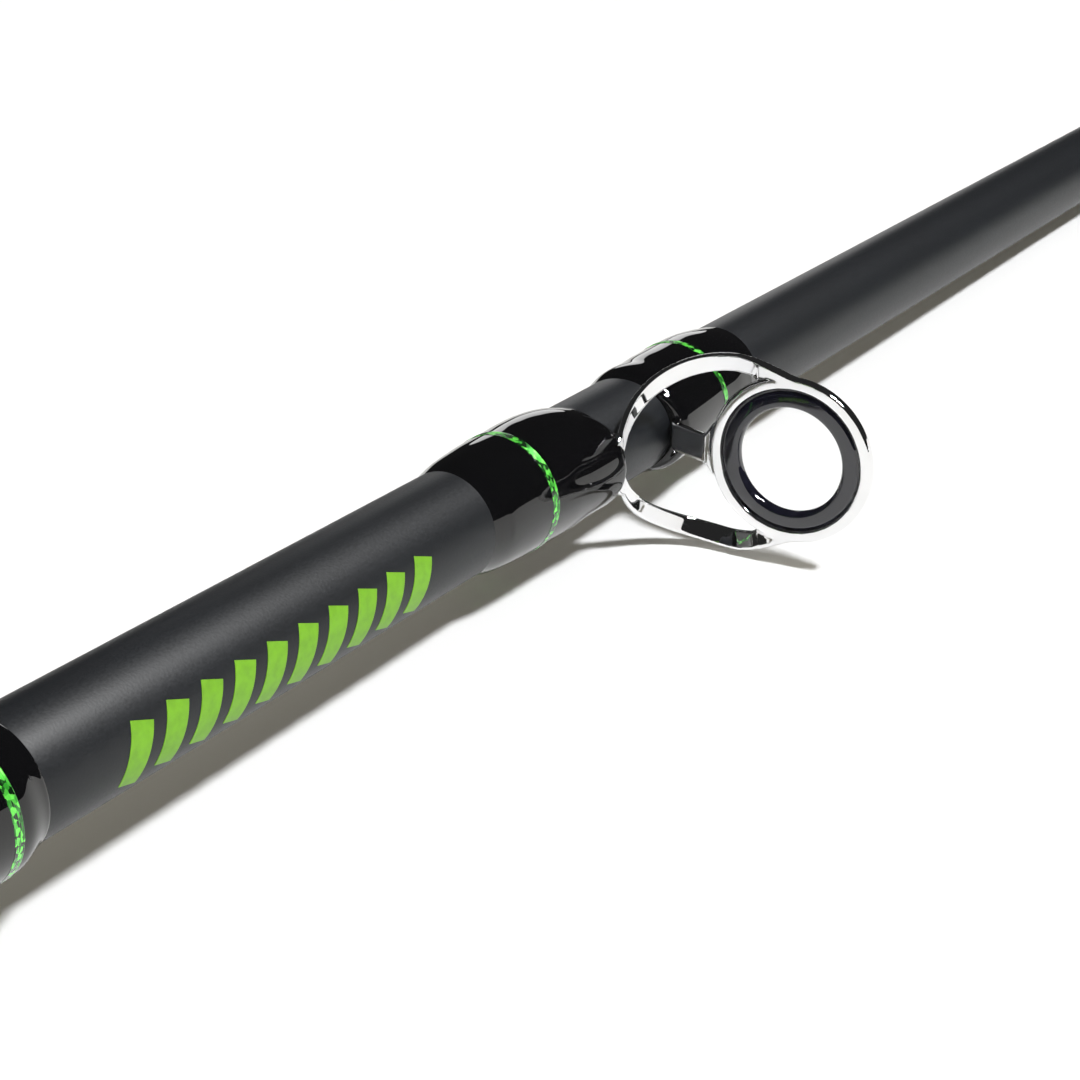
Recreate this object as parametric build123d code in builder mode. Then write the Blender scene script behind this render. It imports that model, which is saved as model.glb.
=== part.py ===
"""A casting rod in two sections, with a trigger reel seat.

+X runs from the butt to the tip, +Z is up and the line guides point to -Y.
The origin is the middle of the butt cap's end face. All sizes are in millimetres.
"""
import os
from math import acos, cos, hypot, pi, radians, sin

from build123d import *

os.makedirs("parts", exist_ok=True)

# Fits
bond_gap = 0.02
running_gap = 0.05
slide_gap = 0.30
cut_overrun = 1.0

# Blank of the upper section
rod_length = 1830.0
stripper_at = 600.0
stripper_blank_radius = 4.163
blank_tip_radius = 0.90
blank_wall = 0.90
tip_bore_radius = 0.40

# Ferrule between the two sections
ferrule_mouth_at = 485.0
ferrule_depth = 60.0
ferrule_wrap_start = 2.0
ferrule_wrap_length = 42.5
ferrule_wrap_height = 0.75
ferrule_wrap_edge = 0.15
ferrule_wrap_slope = 2.4
ferrule_trim_inset = 2.8

# Handle
handle_butt_radius = 5.20
handle_wall = 1.20
butt_cap_length = 18.0
butt_cap_radius = 12.6
butt_cap_round = 2.5
butt_cap_floor = 6.0
rear_grip_length = 134.0
rear_grip_radius = 12.3
rear_grip_waist = 8.6
rear_grip_straight = 26.0
mid_grip_length = 42.0
mid_grip_rear_radius = 8.2
grip_check_length = 3.5
grip_check_lip = 0.4
check_wall = 0.8

# Reel seat
seat_at = 275.0
barrel_radius = 10.0
seat_wall = 3.0
thread_depth = 0.30
hood_lip = 1.0
hood_rise = 4.8
hood_shell = 1.2
hood_chamfer = 2.0
fixed_hood_length = 22.0
fixed_pocket_depth = 14.0
sliding_hood_length = 18.0
sliding_pocket_depth = 10.0
reel_foot_length = 60.0
reel_foot_play = 3.0
hood_travel = 13.0
thread_lead = 1.5
key_width = 2.4
key_depth = 0.9
nut_length = 16.0
nut_wall = 2.4
nut_nose_wall = 1.2
nut_flutes = 12
nut_flute_radius = 2.2
nut_flute_depth = 0.7
nut_gap = 0.3
nut_runout = 1.2
arbor_length = 14.0
arbor_count = 3
fore_check_length = 9.0
fore_check_drop = 0.6
fore_check_straight = 3.0

# Trigger under the seat
trigger_reach = 15.0
trigger_thickness = 7.0
trigger_root_start = 13.0
trigger_root_end = 37.0
trigger_tip_start = 23.0
trigger_tip_width = 5.0
trigger_waist = 4.6
trigger_edge = 1.2

# Line guides, drawn for the stripper's ring and scaled to each ring's size
ring_sizes = (12.0, 10.0, 8.0, 7.0, 6.0, 6.0, 6.0, 6.0)
double_foot_guides = 2
spacing_ratio = 0.86
drawn_ring_size = 12.0
ring_bore_radius = 4.35
ring_width = 1.3
ring_chamfer = 0.2
guide_height = 11.92
guide_lean = 4.5
plate_thickness = 0.95
housing_radius = 6.85
loop_half_width = 8.35
loop_arm = 1.5
loop_shoulder = (8.0, -2.8)
loop_neck = (6.45, 2.2)
window_top = 3.2
knee_drop = 6.0
heel_reach = 6.2
heel_lift = 0.48
heel_depth = 1.25
heel_lap = 0.20
loop_steps = 5
strut_half_width = 1.2
strut_bend = 2.0
foot_half_width = 1.75
foot_tip_half_width = 1.0
foot_tip_height = 0.25
near_foot_end = 20.5
far_foot_end = 13.8
near_wrap = (24.1, 6.7)
far_wrap = (16.9, 1.7)
wrap_edge_height = 0.14
near_wrap_heights = ((0.12, 0.41), (0.25, 0.61), (0.60, 0.78), (0.72, 0.72), (1.0, 0.20))
far_wrap_heights = ((0.14, 0.35), (0.28, 0.57), (0.60, 0.58), (0.90, 0.46), (1.0, 0.30))
wrap_bump_start = 0.40
wrap_bump_height = 1.30
wrap_bump_end = 0.95
wrap_bump_offset = 0.35
wrap_bump_run = 2.0
wrap_end_run = 0.90
trim_width = 0.8
trim_depth = 0.12
near_trim_at = 16.9
far_trim_at = 9.9

# Tip top
tip_ring_size = 6.0
tip_ring_height = 5.4
tip_lean = 25.0
tip_tube_length = 12.0
tip_tube_wall = 0.45
tip_tube_setback = 3.0
tip_cap = 0.8
tip_plate_foot = 1.3
tip_wrap_length = 9.0
tip_wrap_height = 0.5
tip_wrap_rise = 3.0

# Sizes that follow from those above
blank_taper = (stripper_blank_radius - blank_tip_radius) / (rod_length - stripper_at)
seat_bore_radius = barrel_radius - seat_wall
hood_radius = barrel_radius + hood_lip
thread_radius = barrel_radius - thread_depth
hood_bore = thread_radius + slide_gap
nut_radius = hood_bore + nut_wall
nut_nose_radius = hood_bore + nut_nose_wall
fore_check_radius = barrel_radius - fore_check_drop


def upper_radius(x):
    """Outer radius of the upper section's blank at x."""
    return stripper_blank_radius - blank_taper * (x - stripper_at)


def spigot_radius(x):
    """Outer radius of the male spigot, which follows the upper blank's bore."""
    return upper_radius(x) - blank_wall - running_gap


def handle_radius(x):
    """Outer radius of the handle section's blank behind the ferrule."""
    share = x / ferrule_mouth_at
    return handle_butt_radius + share * (spigot_radius(ferrule_mouth_at) - handle_butt_radius)


def side_plane(x):
    """Plane through the rod's axis: local x along the rod, local y out through the guides."""
    return Plane(origin=(x, 0, 0), x_dir=(1, 0, 0), z_dir=(0, 0, -1))


def front_plane(x):
    """Plane across the rod: local x up, local y out through the guides."""
    return Plane(origin=(x, 0, 0), x_dir=(0, 0, 1), z_dir=(1, 0, 0))


def plan_plane(x, height):
    """Plane seen from the guides' side: local x along the rod, local y up."""
    return Plane(origin=(x, -height, 0), x_dir=(1, 0, 0), z_dir=(0, -1, 0))


def plate_plane(x, height, lean):
    """Plane of a leaning ring, with the ring's centre as its origin."""
    tilt = radians(lean)
    return Plane(origin=(x, -height, 0), x_dir=(0, 0, 1), z_dir=(cos(tilt), sin(tilt), 0))


def save(part, label):
    """Label a finished piece and write it."""
    part.label = label
    export_step(part, f"parts/{label}.step")


def turned(points, offset=0.0):
    """A solid turned about the rod's axis, or about one beside it, from (x, radius) points."""
    with BuildPart() as piece:
        with BuildSketch(side_plane(0)):
            with BuildLine():
                Polyline(*[(x, offset + r) for x, r in points], close=True)
            make_face()
        revolve(axis=Axis((0, -offset, 0), (1, 0, 0)))
    return piece.part


def sleeve(start, end, bore, rim):
    """A tapered ring on the blank: bore(x) inside, (x, radius) points of the rim outside."""
    return turned([(start, bore(start))] + rim + [(end, bore(end))])


def between(stations, x):
    """Straight-line value at x through (x, value) stations in rising order."""
    for (x0, v0), (x1, v1) in zip(stations, stations[1:]):
        if x <= x1:
            break
    return v0 + (v1 - v0) * (x - x0) / (x1 - x0)


# Butt cap and grips

def handle_bore(x):
    """Bore of a piece glued on the handle blank."""
    return handle_radius(x) + bond_gap


with BuildPart() as butt_cap:
    with BuildSketch(side_plane(0)):
        with BuildLine():
            Polyline(
                (0, 0),
                (0, butt_cap_radius),
                (butt_cap_length, butt_cap_radius),
                (butt_cap_length, handle_bore(butt_cap_length)),
                (butt_cap_floor, handle_bore(butt_cap_floor)),
                (butt_cap_floor, 0),
                close=True,
            )
        make_face()
    revolve(axis=Axis.X)
    fillet(butt_cap.edges().filter_by(GeomType.CIRCLE).group_by(Axis.X)[0], butt_cap_round)
save(butt_cap.part, "butt_cap")

rear_grip_end = butt_cap_length + rear_grip_length
rear_grip_bend = butt_cap_length + rear_grip_straight
with BuildPart() as rear_grip:
    with BuildSketch(side_plane(0)):
        with BuildLine():
            Line((butt_cap_length, handle_bore(butt_cap_length)), (butt_cap_length, rear_grip_radius))
            Line((butt_cap_length, rear_grip_radius), (rear_grip_bend, rear_grip_radius))
            TangentArc((rear_grip_bend, rear_grip_radius), (rear_grip_end, rear_grip_waist), tangent=(1, 0))
            Line((rear_grip_end, rear_grip_waist), (rear_grip_end, handle_bore(rear_grip_end)))
            Line((rear_grip_end, handle_bore(rear_grip_end)), (butt_cap_length, handle_bore(butt_cap_length)))
        make_face()
    revolve(axis=Axis.X)
save(rear_grip.part, "rear_grip")

mid_grip_start = seat_at - mid_grip_length
mid_grip_rim = [(mid_grip_start, mid_grip_rear_radius), (seat_at, hood_radius)]
save(sleeve(mid_grip_start, seat_at, handle_bore, mid_grip_rim), "mid_grip")


def grip_check(start, end, grip_radius, label):
    """A short coned ring that closes a grip's end; start is the end beside the grip."""
    rim = [(start, grip_radius - grip_check_lip), (end, handle_bore(end) + check_wall)]
    save(sleeve(start, end, handle_bore, rim), label)


grip_check(rear_grip_end, rear_grip_end + grip_check_length, rear_grip_waist, "rear_grip_check")
grip_check(mid_grip_start, mid_grip_start - grip_check_length, mid_grip_rear_radius, "mid_grip_check")

# Handle blank with its spigot

spigot_end = ferrule_mouth_at + ferrule_depth
handle_points = [
    (butt_cap_floor, handle_radius(butt_cap_floor)),
    (ferrule_mouth_at, handle_radius(ferrule_mouth_at)),
    (spigot_end, spigot_radius(spigot_end)),
    (spigot_end, spigot_radius(spigot_end) - handle_wall),
    (ferrule_mouth_at, handle_radius(ferrule_mouth_at) - handle_wall),
    (butt_cap_floor, handle_radius(butt_cap_floor) - handle_wall),
]
save(turned(handle_points), "handle_blank")

# Reel seat

fixed_pocket_floor = seat_at + fixed_hood_length - fixed_pocket_depth
hood_mouth = fixed_pocket_floor + reel_foot_length + reel_foot_play
hood_end = hood_mouth + sliding_hood_length
nut_start = hood_end + nut_gap
nut_end = nut_start + nut_length
seat_end = nut_end + nut_runout
thread_start = hood_mouth - hood_travel - thread_lead
fixed_hood_end = seat_at + fixed_hood_length


def hood_block(start, end, chamfered):
    """The humped outer form of a hood, with the chosen end chamfered."""
    with BuildPart() as block:
        with BuildSketch(front_plane(start)):
            with Locations((0, hood_rise / 2)):
                SlotCenterToCenter(hood_rise, 2 * hood_radius, rotation=90)
        extrude(amount=end - start)
        chamfer(block.faces().sort_by(Axis.X)[chamfered].edges(), hood_chamfer)
    return block.part


def pocket(start, end):
    """The crescent space between the barrel and a hood that takes the reel's foot."""
    with BuildPart() as space:
        with BuildSketch(front_plane(start)):
            with Locations((0, hood_rise / 2)):
                SlotCenterToCenter(hood_rise, 2 * (hood_radius - hood_shell), rotation=90)
            Circle(barrel_radius, mode=Mode.SUBTRACT)
        extrude(amount=end - start)
    return space.part


def key_bar(start, end, grow):
    """The key on the sliding hood, or with grow the keyway that it runs in."""
    bottom = thread_radius - key_depth - grow
    with BuildPart() as bar:
        with BuildSketch(front_plane(start)):
            with Locations((0, -(bottom + barrel_radius) / 2)):
                Rectangle(key_width + 2 * grow, barrel_radius - bottom)
        extrude(amount=end - start)
    return bar.part


with BuildPart() as trigger:
    with BuildSketch(side_plane(seat_at)):
        root = -seat_bore_radius
        tip = -(barrel_radius + trigger_reach)
        tip_end = trigger_tip_start + trigger_tip_width
        waist_at = -(barrel_radius + trigger_reach / 2)
        with BuildLine():
            Line((trigger_root_end, root), (trigger_root_start, root))
            Line((trigger_root_start, root), (trigger_root_start, -barrel_radius))
            Line((trigger_root_start, -barrel_radius), (trigger_tip_start, tip))
            Line((trigger_tip_start, tip), (tip_end, tip))
            ThreePointArc(
                (tip_end, tip),
                (trigger_tip_start + trigger_waist, waist_at),
                (trigger_root_end, -barrel_radius),
            )
            Line((trigger_root_end, -barrel_radius), (trigger_root_end, root))
        make_face()
    extrude(amount=trigger_thickness / 2, both=True)
    chamfer(trigger.faces().filter_by(Axis.Z).edges().filter_by(lambda e: e.center().Y > barrel_radius),
            trigger_edge)

with BuildPart() as reel_seat:
    add(turned([
        (seat_at, seat_bore_radius),
        (seat_at, hood_radius),
        (fixed_hood_end, hood_radius),
        (fixed_hood_end + hood_shell, barrel_radius),
        (thread_start, barrel_radius),
        (thread_start, thread_radius),
        (seat_end, thread_radius),
        (seat_end, seat_bore_radius),
    ]))
    add(hood_block(seat_at, fixed_hood_end, 0))
    add(trigger.part)
    add(pocket(fixed_pocket_floor, fixed_hood_end), mode=Mode.SUBTRACT)
    add(key_bar(thread_start, seat_end, slide_gap), mode=Mode.SUBTRACT)
    with BuildSketch(front_plane(seat_at)):
        Circle(seat_bore_radius)
    extrude(amount=seat_end - seat_at, mode=Mode.SUBTRACT)
save(reel_seat.part, "reel_seat")

arbor_step = (seat_end - seat_at - arbor_length) / (arbor_count - 1)
with BuildPart() as seat_arbors:
    for number in range(arbor_count):
        arbor_start = seat_at + number * arbor_step
        arbor_end = arbor_start + arbor_length
        arbor_rim = seat_bore_radius - bond_gap
        add(sleeve(arbor_start, arbor_end, handle_bore, [(arbor_start, arbor_rim), (arbor_end, arbor_rim)]))
save(seat_arbors.part, "seat_arbors")

with BuildPart() as sliding_hood:
    add(hood_block(hood_mouth, hood_end, -1))
    with BuildSketch(front_plane(hood_mouth)):
        Circle(hood_bore)
    extrude(amount=sliding_hood_length, mode=Mode.SUBTRACT)
    add(pocket(hood_mouth, hood_mouth + sliding_pocket_depth), mode=Mode.SUBTRACT)
    add(key_bar(hood_mouth + sliding_pocket_depth, hood_end, 0))
save(sliding_hood.part, "sliding_hood")

with BuildPart() as lock_nut:
    add(turned([
        (nut_start, hood_bore),
        (nut_start, nut_radius),
        (nut_start + nut_length / 2, nut_radius),
        (nut_end, nut_nose_radius),
        (nut_end, hood_bore),
    ]))
    with BuildSketch(front_plane(nut_start)):
        with PolarLocations(nut_radius + nut_flute_radius - nut_flute_depth, nut_flutes):
            Circle(nut_flute_radius)
    extrude(amount=nut_length, mode=Mode.SUBTRACT)
save(lock_nut.part, "lock_nut")

fore_check_end = seat_end + fore_check_length
fore_check_rim = [
    (seat_end, fore_check_radius),
    (seat_end + fore_check_straight, fore_check_radius),
    (fore_check_end, handle_bore(fore_check_end) + check_wall),
]
save(sleeve(seat_end, fore_check_end, handle_bore, fore_check_rim), "fore_check")

# Upper blank and ferrule wrap


def upper_bore(x):
    """Bore of a piece glued on the upper blank."""
    return upper_radius(x) + bond_gap


blank_end = rod_length - tip_tube_setback - tip_cap
bore_end = stripper_at + (stripper_blank_radius - blank_wall - tip_bore_radius) / blank_taper
upper_points = [
    (ferrule_mouth_at, upper_radius(ferrule_mouth_at)),
    (blank_end, upper_radius(blank_end)),
    (blank_end, 0),
    (bore_end, 0),
    (bore_end, tip_bore_radius),
    (ferrule_mouth_at, upper_radius(ferrule_mouth_at) - blank_wall),
]
save(turned(upper_points), "upper_blank")

wrap_start = ferrule_mouth_at + ferrule_wrap_start
wrap_end = wrap_start + ferrule_wrap_length
ferrule_heights = [
    (wrap_start, ferrule_wrap_edge),
    (wrap_start + ferrule_wrap_slope / 2, ferrule_wrap_height),
    (wrap_end - ferrule_wrap_slope, ferrule_wrap_height),
    (wrap_end, ferrule_wrap_edge),
]
ferrule_rim = [(x, upper_radius(x) + height) for x, height in ferrule_heights]


def ferrule_band(inset, grow):
    """A trim band let into the ferrule wrap, or with grow the groove that it lies in."""
    start = wrap_end - inset - trim_width - grow
    end = wrap_end - inset + grow
    rim = [(start, between(ferrule_rim, start)), (end, between(ferrule_rim, end))]
    return turned([(end, rim[1][1] - trim_depth - grow), (start, rim[0][1] - trim_depth - grow)] + rim)


ferrule_bands = (ferrule_trim_inset, ferrule_wrap_length - ferrule_trim_inset - trim_width)
with BuildPart() as ferrule_wrap:
    add(sleeve(wrap_start, wrap_end, upper_bore, ferrule_rim))
    for band_inset in ferrule_bands:
        add(ferrule_band(band_inset, bond_gap), mode=Mode.SUBTRACT)
save(ferrule_wrap.part, "ferrule_wrap")

with BuildPart() as ferrule_trim:
    for band_inset in ferrule_bands:
        add(ferrule_band(band_inset, 0))
save(ferrule_trim.part, "ferrule_trim")

# Line guides


def blank_core(start, end):
    """The room that the upper blank takes in a glued piece from start to end."""
    return turned([(start, 0), (start, upper_bore(start)), (end, upper_bore(end)), (end, 0)])


def foot(x, scale, heel, end, heel_half_width, grow):
    """A guide's foot on the blank, flat at its heel, or with grow the room for it in a wrap."""
    r = upper_radius(x)
    way = 1 if end > heel else -1
    waist = heel + way * heel_depth * scale
    tip_at = end + way * grow
    heel_half = heel_half_width * scale + grow
    half = foot_half_width * scale + grow
    tip_half = foot_tip_half_width * scale + grow
    top = r + plate_thickness * scale + grow
    tip_top = r + foot_tip_height * scale + grow
    with BuildPart() as solid:
        with BuildSketch(plan_plane(x, 0)):
            Polygon((waist, -half), (waist, half), (tip_at, tip_half), (tip_at, -tip_half), align=None)
        extrude(amount=top)
        add(turned([
            (x + waist, 0),
            (x + waist, top),
            (x + tip_at, tip_top),
            (x + tip_at, 0),
        ]), mode=Mode.INTERSECT)
        with BuildSketch(plan_plane(x, r - grow)):
            Polygon((heel, -heel_half), (heel, heel_half), (waist, half), (waist, -half), align=None)
        extrude(amount=top - r + grow)
        if grow == 0:
            overrun = way * cut_overrun
            add(blank_core(x + heel - overrun, x + end + overrun), mode=Mode.SUBTRACT)
    return solid.part


def strut_turn(scale):
    """Drop below the ring's centre where the strut turns to the far foot, and that foot's heel."""
    tilt = radians(guide_lean)
    drop = (guide_height - heel_lift - strut_bend * (1 + sin(tilt))) / cos(tilt)
    return drop, (strut_bend * cos(tilt) - drop * sin(tilt)) * scale


def loop_edge(scale, half_width, tip):
    """Points round one edge of the loop in plan, from the knee's upper side round to its lower side.

    The edge is half an ellipse on the flat sheet, before the sheet is bent from the knee to the heel;
    tip is how far the edge reaches past the heel.
    """
    tilt = radians(guide_lean)
    knee_x = -knee_drop * sin(tilt)
    run = heel_reach + knee_x
    fall = guide_height - knee_drop * cos(tilt) - heel_lift
    radius = hypot(run, fall) ** 2 / (2 * (run * cos(tilt) - fall * sin(tilt)))
    bend_x = knee_x - radius * cos(tilt)
    arc = radius * (acos((-heel_reach - bend_x) / radius) - tilt)
    upper = []
    for step in range(loop_steps + 1):
        share = pi / 2 * step / loop_steps
        way = (arc + tip) * sin(share)
        along = bend_x + radius * cos(tilt + min(way, arc) / radius) - max(way - arc, 0)
        upper.append((along * scale, half_width * cos(share) * scale))
    return upper + [(along, -up) for along, up in upper[-2::-1]]


def guide_frame(x, scale, double_foot):
    """A stamped frame: ring housing, looped arms swept into the near foot, strut to a far foot."""
    r = upper_radius(x)
    tilt = radians(guide_lean)
    centre = r + guide_height * scale
    down = (-sin(tilt), -cos(tilt))
    plate = plate_plane(x, centre, guide_lean)

    def below(drop):
        return (drop * scale * down[0], centre + drop * scale * down[1])

    knee = below(knee_drop)
    heel = (-heel_reach * scale, r + heel_lift * scale)
    loop_inner = loop_half_width - loop_arm
    outer_edge = loop_edge(scale, loop_half_width, heel_depth)
    inner_edge = loop_edge(scale, loop_inner, -heel_lap)
    with BuildPart() as frame:
        with BuildSketch(side_plane(x)):
            with BuildLine():
                Line(below(-housing_radius), knee)
                TangentArc(knee, heel, tangent=down)
            trace(line_width=plate_thickness * scale)
        extrude(amount=loop_half_width * scale, both=True)
        with BuildSketch(plate):
            with BuildLine():
                shoulder = (loop_shoulder[0] * scale, loop_shoulder[1] * scale)
                neck = (loop_neck[0] * scale, loop_neck[1] * scale)
                side = (loop_half_width * scale, -knee_drop * scale)
                Line((0, neck[1]), neck)
                Line(neck, shoulder)
                TangentArc(shoulder, side, tangent=(shoulder[0] - neck[0], shoulder[1] - neck[1]))
                Line(side, (side[0], -2 * centre))
                Line((side[0], -2 * centre), (0, -2 * centre))
                mirror(about=Plane.YZ)
            make_face()
            Circle(housing_radius * scale)
        extrude(amount=2 * centre, both=True, mode=Mode.INTERSECT)
        with BuildSketch(plan_plane(x, 0)):
            with BuildLine():
                Spline(*outer_edge, tangents=((-1, 0), (1, 0)))
                Polyline(outer_edge[-1], (2 * centre, outer_edge[-1][1]), (2 * centre, outer_edge[0][1]),
                         outer_edge[0])
            make_face()
        extrude(amount=2 * centre, mode=Mode.INTERSECT)
        with BuildSketch(plan_plane(x, 0)):
            with BuildLine():
                Spline(*inner_edge, tangents=((-1, 0), (1, 0)))
                Polyline(inner_edge[-1], (-knee[0], inner_edge[-1][1]), (-knee[0], inner_edge[0][1]),
                         inner_edge[0])
            make_face()
        extrude(amount=knee[1], mode=Mode.SUBTRACT)
        with BuildSketch(plate):
            Circle(housing_radius * scale)
        extrude(amount=plate_thickness * scale / 2, both=True)
        with BuildSketch(plate):
            with Locations((0, -window_top * scale)):
                Rectangle(2 * loop_inner * scale, (knee_drop - window_top) * scale,
                          align=(Align.CENTER, Align.MAX))
            Circle(housing_radius * scale, mode=Mode.SUBTRACT)
        extrude(amount=2 * plate_thickness * scale, both=True, mode=Mode.SUBTRACT)
        if double_foot:
            turn_drop, far_heel = strut_turn(scale)
            with BuildSketch(side_plane(x)):
                with BuildLine():
                    Line(below((drawn_ring_size / 2 + housing_radius) / 2), below(turn_drop))
                    TangentArc(below(turn_drop), (far_heel, heel[1]), tangent=down)
                trace(line_width=plate_thickness * scale)
            extrude(amount=strut_half_width * scale, both=True)
            add(foot(x, scale, far_heel, far_foot_end * scale, strut_half_width, 0))
        add(foot(x, scale, heel[0], -near_foot_end * scale, loop_half_width / 2, 0))
        with BuildSketch(plate):
            Circle(drawn_ring_size / 2 * scale + bond_gap)
        extrude(amount=2 * plate_thickness * scale, both=True, mode=Mode.SUBTRACT)
    return frame.part


def guide_ring(plate, scale):
    """A ceramic ring with a bevelled bore, set in its housing."""
    with BuildPart() as ring:
        with BuildSketch(plate.offset(-ring_width * scale / 2)):
            Circle(drawn_ring_size / 2 * scale)
            Circle(ring_bore_radius * scale, mode=Mode.SUBTRACT)
        extrude(amount=ring_width * scale)
        chamfer(ring.edges().filter_by(GeomType.CIRCLE).group_by(SortBy.RADIUS)[0], ring_chamfer * scale)
        chamfer(ring.edges().filter_by(GeomType.CIRCLE).group_by(SortBy.RADIUS)[-1], ring_chamfer * scale)
    return ring.part


def wrap_rims(x, scale, outer_end, guide_end, heights):
    """(x, radius) points of a wrap's round body and of the hump over the foot, in rising x.

    The heights are (share of the wrap's length from its outer end, height above the blank).
    """
    way = 1 if guide_end > outer_end else -1
    length = guide_end - outer_end
    body = [(outer_end, wrap_edge_height)] + [(outer_end + share * length, rise) for share, rise in heights]
    hump = [
        (outer_end + way * wrap_bump_run * scale, wrap_bump_start),
        (guide_end - way * wrap_end_run * scale, wrap_bump_height),
        (guide_end, wrap_bump_end),
    ]
    rims = []
    for stations in (body, hump):
        rims.append(sorted((x + at, upper_radius(x + at) + height * scale) for at, height in stations))
    return rims


def wrap_form(rims, start, end, sink):
    """The solid inside a wrap's surface from start to end, sunk below the surface by sink."""
    body, hump = rims
    offset = wrap_bump_offset * body[0][1]
    with BuildPart() as form:
        for stations, axis_offset in ((body, 0.0), (hump, offset)):
            first = max(start, stations[0][0])
            last = min(end, stations[-1][0])
            inner = [at for at, _ in stations if first < at < last]
            points = [(at, between(stations, at) - axis_offset - sink) for at in [first, *inner, last]]
            add(turned([(first, 0)] + points + [(last, 0)], axis_offset))
    return form.part


def trim_band(rims, at, grow):
    """A trim band let into a wrap at x = at, or with grow the groove that it lies in."""
    start = at - trim_width / 2 - grow
    end = at + trim_width / 2 + grow
    with BuildPart() as band:
        add(wrap_form(rims, start, end, 0))
        add(wrap_form(rims, start, end, trim_depth + grow), mode=Mode.SUBTRACT)
    return band.part


def guide_wrap(rims, foot_room, bands):
    """One wrap: its form, less the blank, the foot's room and the trim grooves."""
    start = rims[0][0][0]
    end = rims[0][-1][0]
    with BuildPart() as wrap:
        add(wrap_form(rims, start, end, 0))
        add(blank_core(start - cut_overrun, end + cut_overrun), mode=Mode.SUBTRACT)
        add(foot_room, mode=Mode.SUBTRACT)
        for band in bands:
            add(trim_band(rims, band, bond_gap), mode=Mode.SUBTRACT)
    return wrap.part


gap_sum = sum(spacing_ratio ** step for step in range(len(ring_sizes)))
first_gap = (rod_length - stripper_at) / gap_sum
guide_at = stripper_at
for number, ring_size in enumerate(ring_sizes):
    scale = ring_size / drawn_ring_size
    double_foot = number < double_foot_guides
    name = f"guide_{number + 1}"
    ring_height = upper_radius(guide_at) + guide_height * scale
    ring_plane = plate_plane(guide_at, ring_height, guide_lean)
    save(guide_frame(guide_at, scale, double_foot), f"{name}_frame")
    save(guide_ring(ring_plane, scale), f"{name}_ring")
    near_rims = wrap_rims(guide_at, scale, -near_wrap[0] * scale, -near_wrap[1] * scale, near_wrap_heights)
    near_room = foot(guide_at, scale, -heel_reach * scale, -near_foot_end * scale, loop_half_width / 2,
                     bond_gap)
    near_bands = [guide_at - near_trim_at * scale] if double_foot else []
    with BuildPart() as wraps:
        add(guide_wrap(near_rims, near_room, near_bands))
        if double_foot:
            far_rims = wrap_rims(guide_at, scale, far_wrap[0] * scale, far_wrap[1] * scale, far_wrap_heights)
            far_heel = strut_turn(scale)[1]
            far_room = foot(guide_at, scale, far_heel, far_foot_end * scale, strut_half_width, bond_gap)
            far_bands = [guide_at + far_trim_at * scale]
            add(guide_wrap(far_rims, far_room, far_bands))
    save(wraps.part, f"{name}_wraps")
    if double_foot:
        with BuildPart() as trims:
            add(trim_band(near_rims, near_bands[0], 0))
            add(trim_band(far_rims, far_bands[0], 0))
        save(trims.part, f"{name}_trims")
    guide_at += first_gap * spacing_ratio ** number

# Tip top

tip_scale = tip_ring_size / drawn_ring_size
tip_plane = plate_plane(rod_length, tip_ring_height, tip_lean)
tube_start = rod_length - tip_tube_setback - tip_tube_length
tube_end = rod_length - tip_tube_setback
tube_radius = upper_bore(tube_start) + tip_tube_wall
plate_drop = tip_ring_height / cos(radians(tip_lean))
with BuildPart() as tip_top_frame:
    add(turned([
        (tube_start, upper_bore(tube_start)),
        (tube_start, tube_radius),
        (tube_end, tube_radius),
        (tube_end, 0),
        (blank_end, 0),
        (blank_end, upper_bore(blank_end)),
    ]))
    with BuildSketch(tip_plane):
        Circle(housing_radius * tip_scale)
        with Locations((0, -plate_drop)):
            Circle(tip_plate_foot)
        make_hull()
        Circle(tip_ring_size / 2 + bond_gap, mode=Mode.SUBTRACT)
    extrude(amount=plate_thickness * tip_scale / 2, both=True)
save(tip_top_frame.part, "tip_top_frame")
save(guide_ring(tip_plane, tip_scale), "tip_top_ring")

tip_wrap_start = tube_start - tip_wrap_length
tip_wrap_rim = [
    (tip_wrap_start, upper_radius(tip_wrap_start) + wrap_edge_height),
    (tip_wrap_start + tip_wrap_rise, upper_radius(tip_wrap_start) + tip_wrap_height),
    (tube_start, upper_radius(tube_start) + tip_wrap_height),
]
save(sleeve(tip_wrap_start, tube_start, upper_bore, tip_wrap_rim), "tip_wrap")
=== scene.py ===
"""Dressed scene of a two-section casting rod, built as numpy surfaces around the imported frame."""
import logging
from dataclasses import dataclass, field
from enum import Enum
from math import cos, pi, radians, sin
from typing import Callable, Optional, Sequence, Union

import bpy
import numpy as np
from mathutils import Matrix, Vector


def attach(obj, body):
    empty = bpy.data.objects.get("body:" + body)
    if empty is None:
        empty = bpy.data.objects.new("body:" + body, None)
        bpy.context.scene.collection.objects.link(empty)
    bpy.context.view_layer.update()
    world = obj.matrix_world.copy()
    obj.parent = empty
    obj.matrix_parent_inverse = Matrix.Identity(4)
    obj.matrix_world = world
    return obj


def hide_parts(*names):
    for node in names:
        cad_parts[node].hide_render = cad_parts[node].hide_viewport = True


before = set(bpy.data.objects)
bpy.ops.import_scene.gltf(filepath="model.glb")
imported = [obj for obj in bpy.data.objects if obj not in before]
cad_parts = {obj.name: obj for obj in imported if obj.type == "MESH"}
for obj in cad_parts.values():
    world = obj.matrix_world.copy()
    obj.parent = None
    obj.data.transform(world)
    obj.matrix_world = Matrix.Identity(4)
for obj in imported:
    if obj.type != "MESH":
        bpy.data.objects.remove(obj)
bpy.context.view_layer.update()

# A millimetre in metres: sizes are in millimetres unless a docstring says otherwise
MM = 0.001
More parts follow.
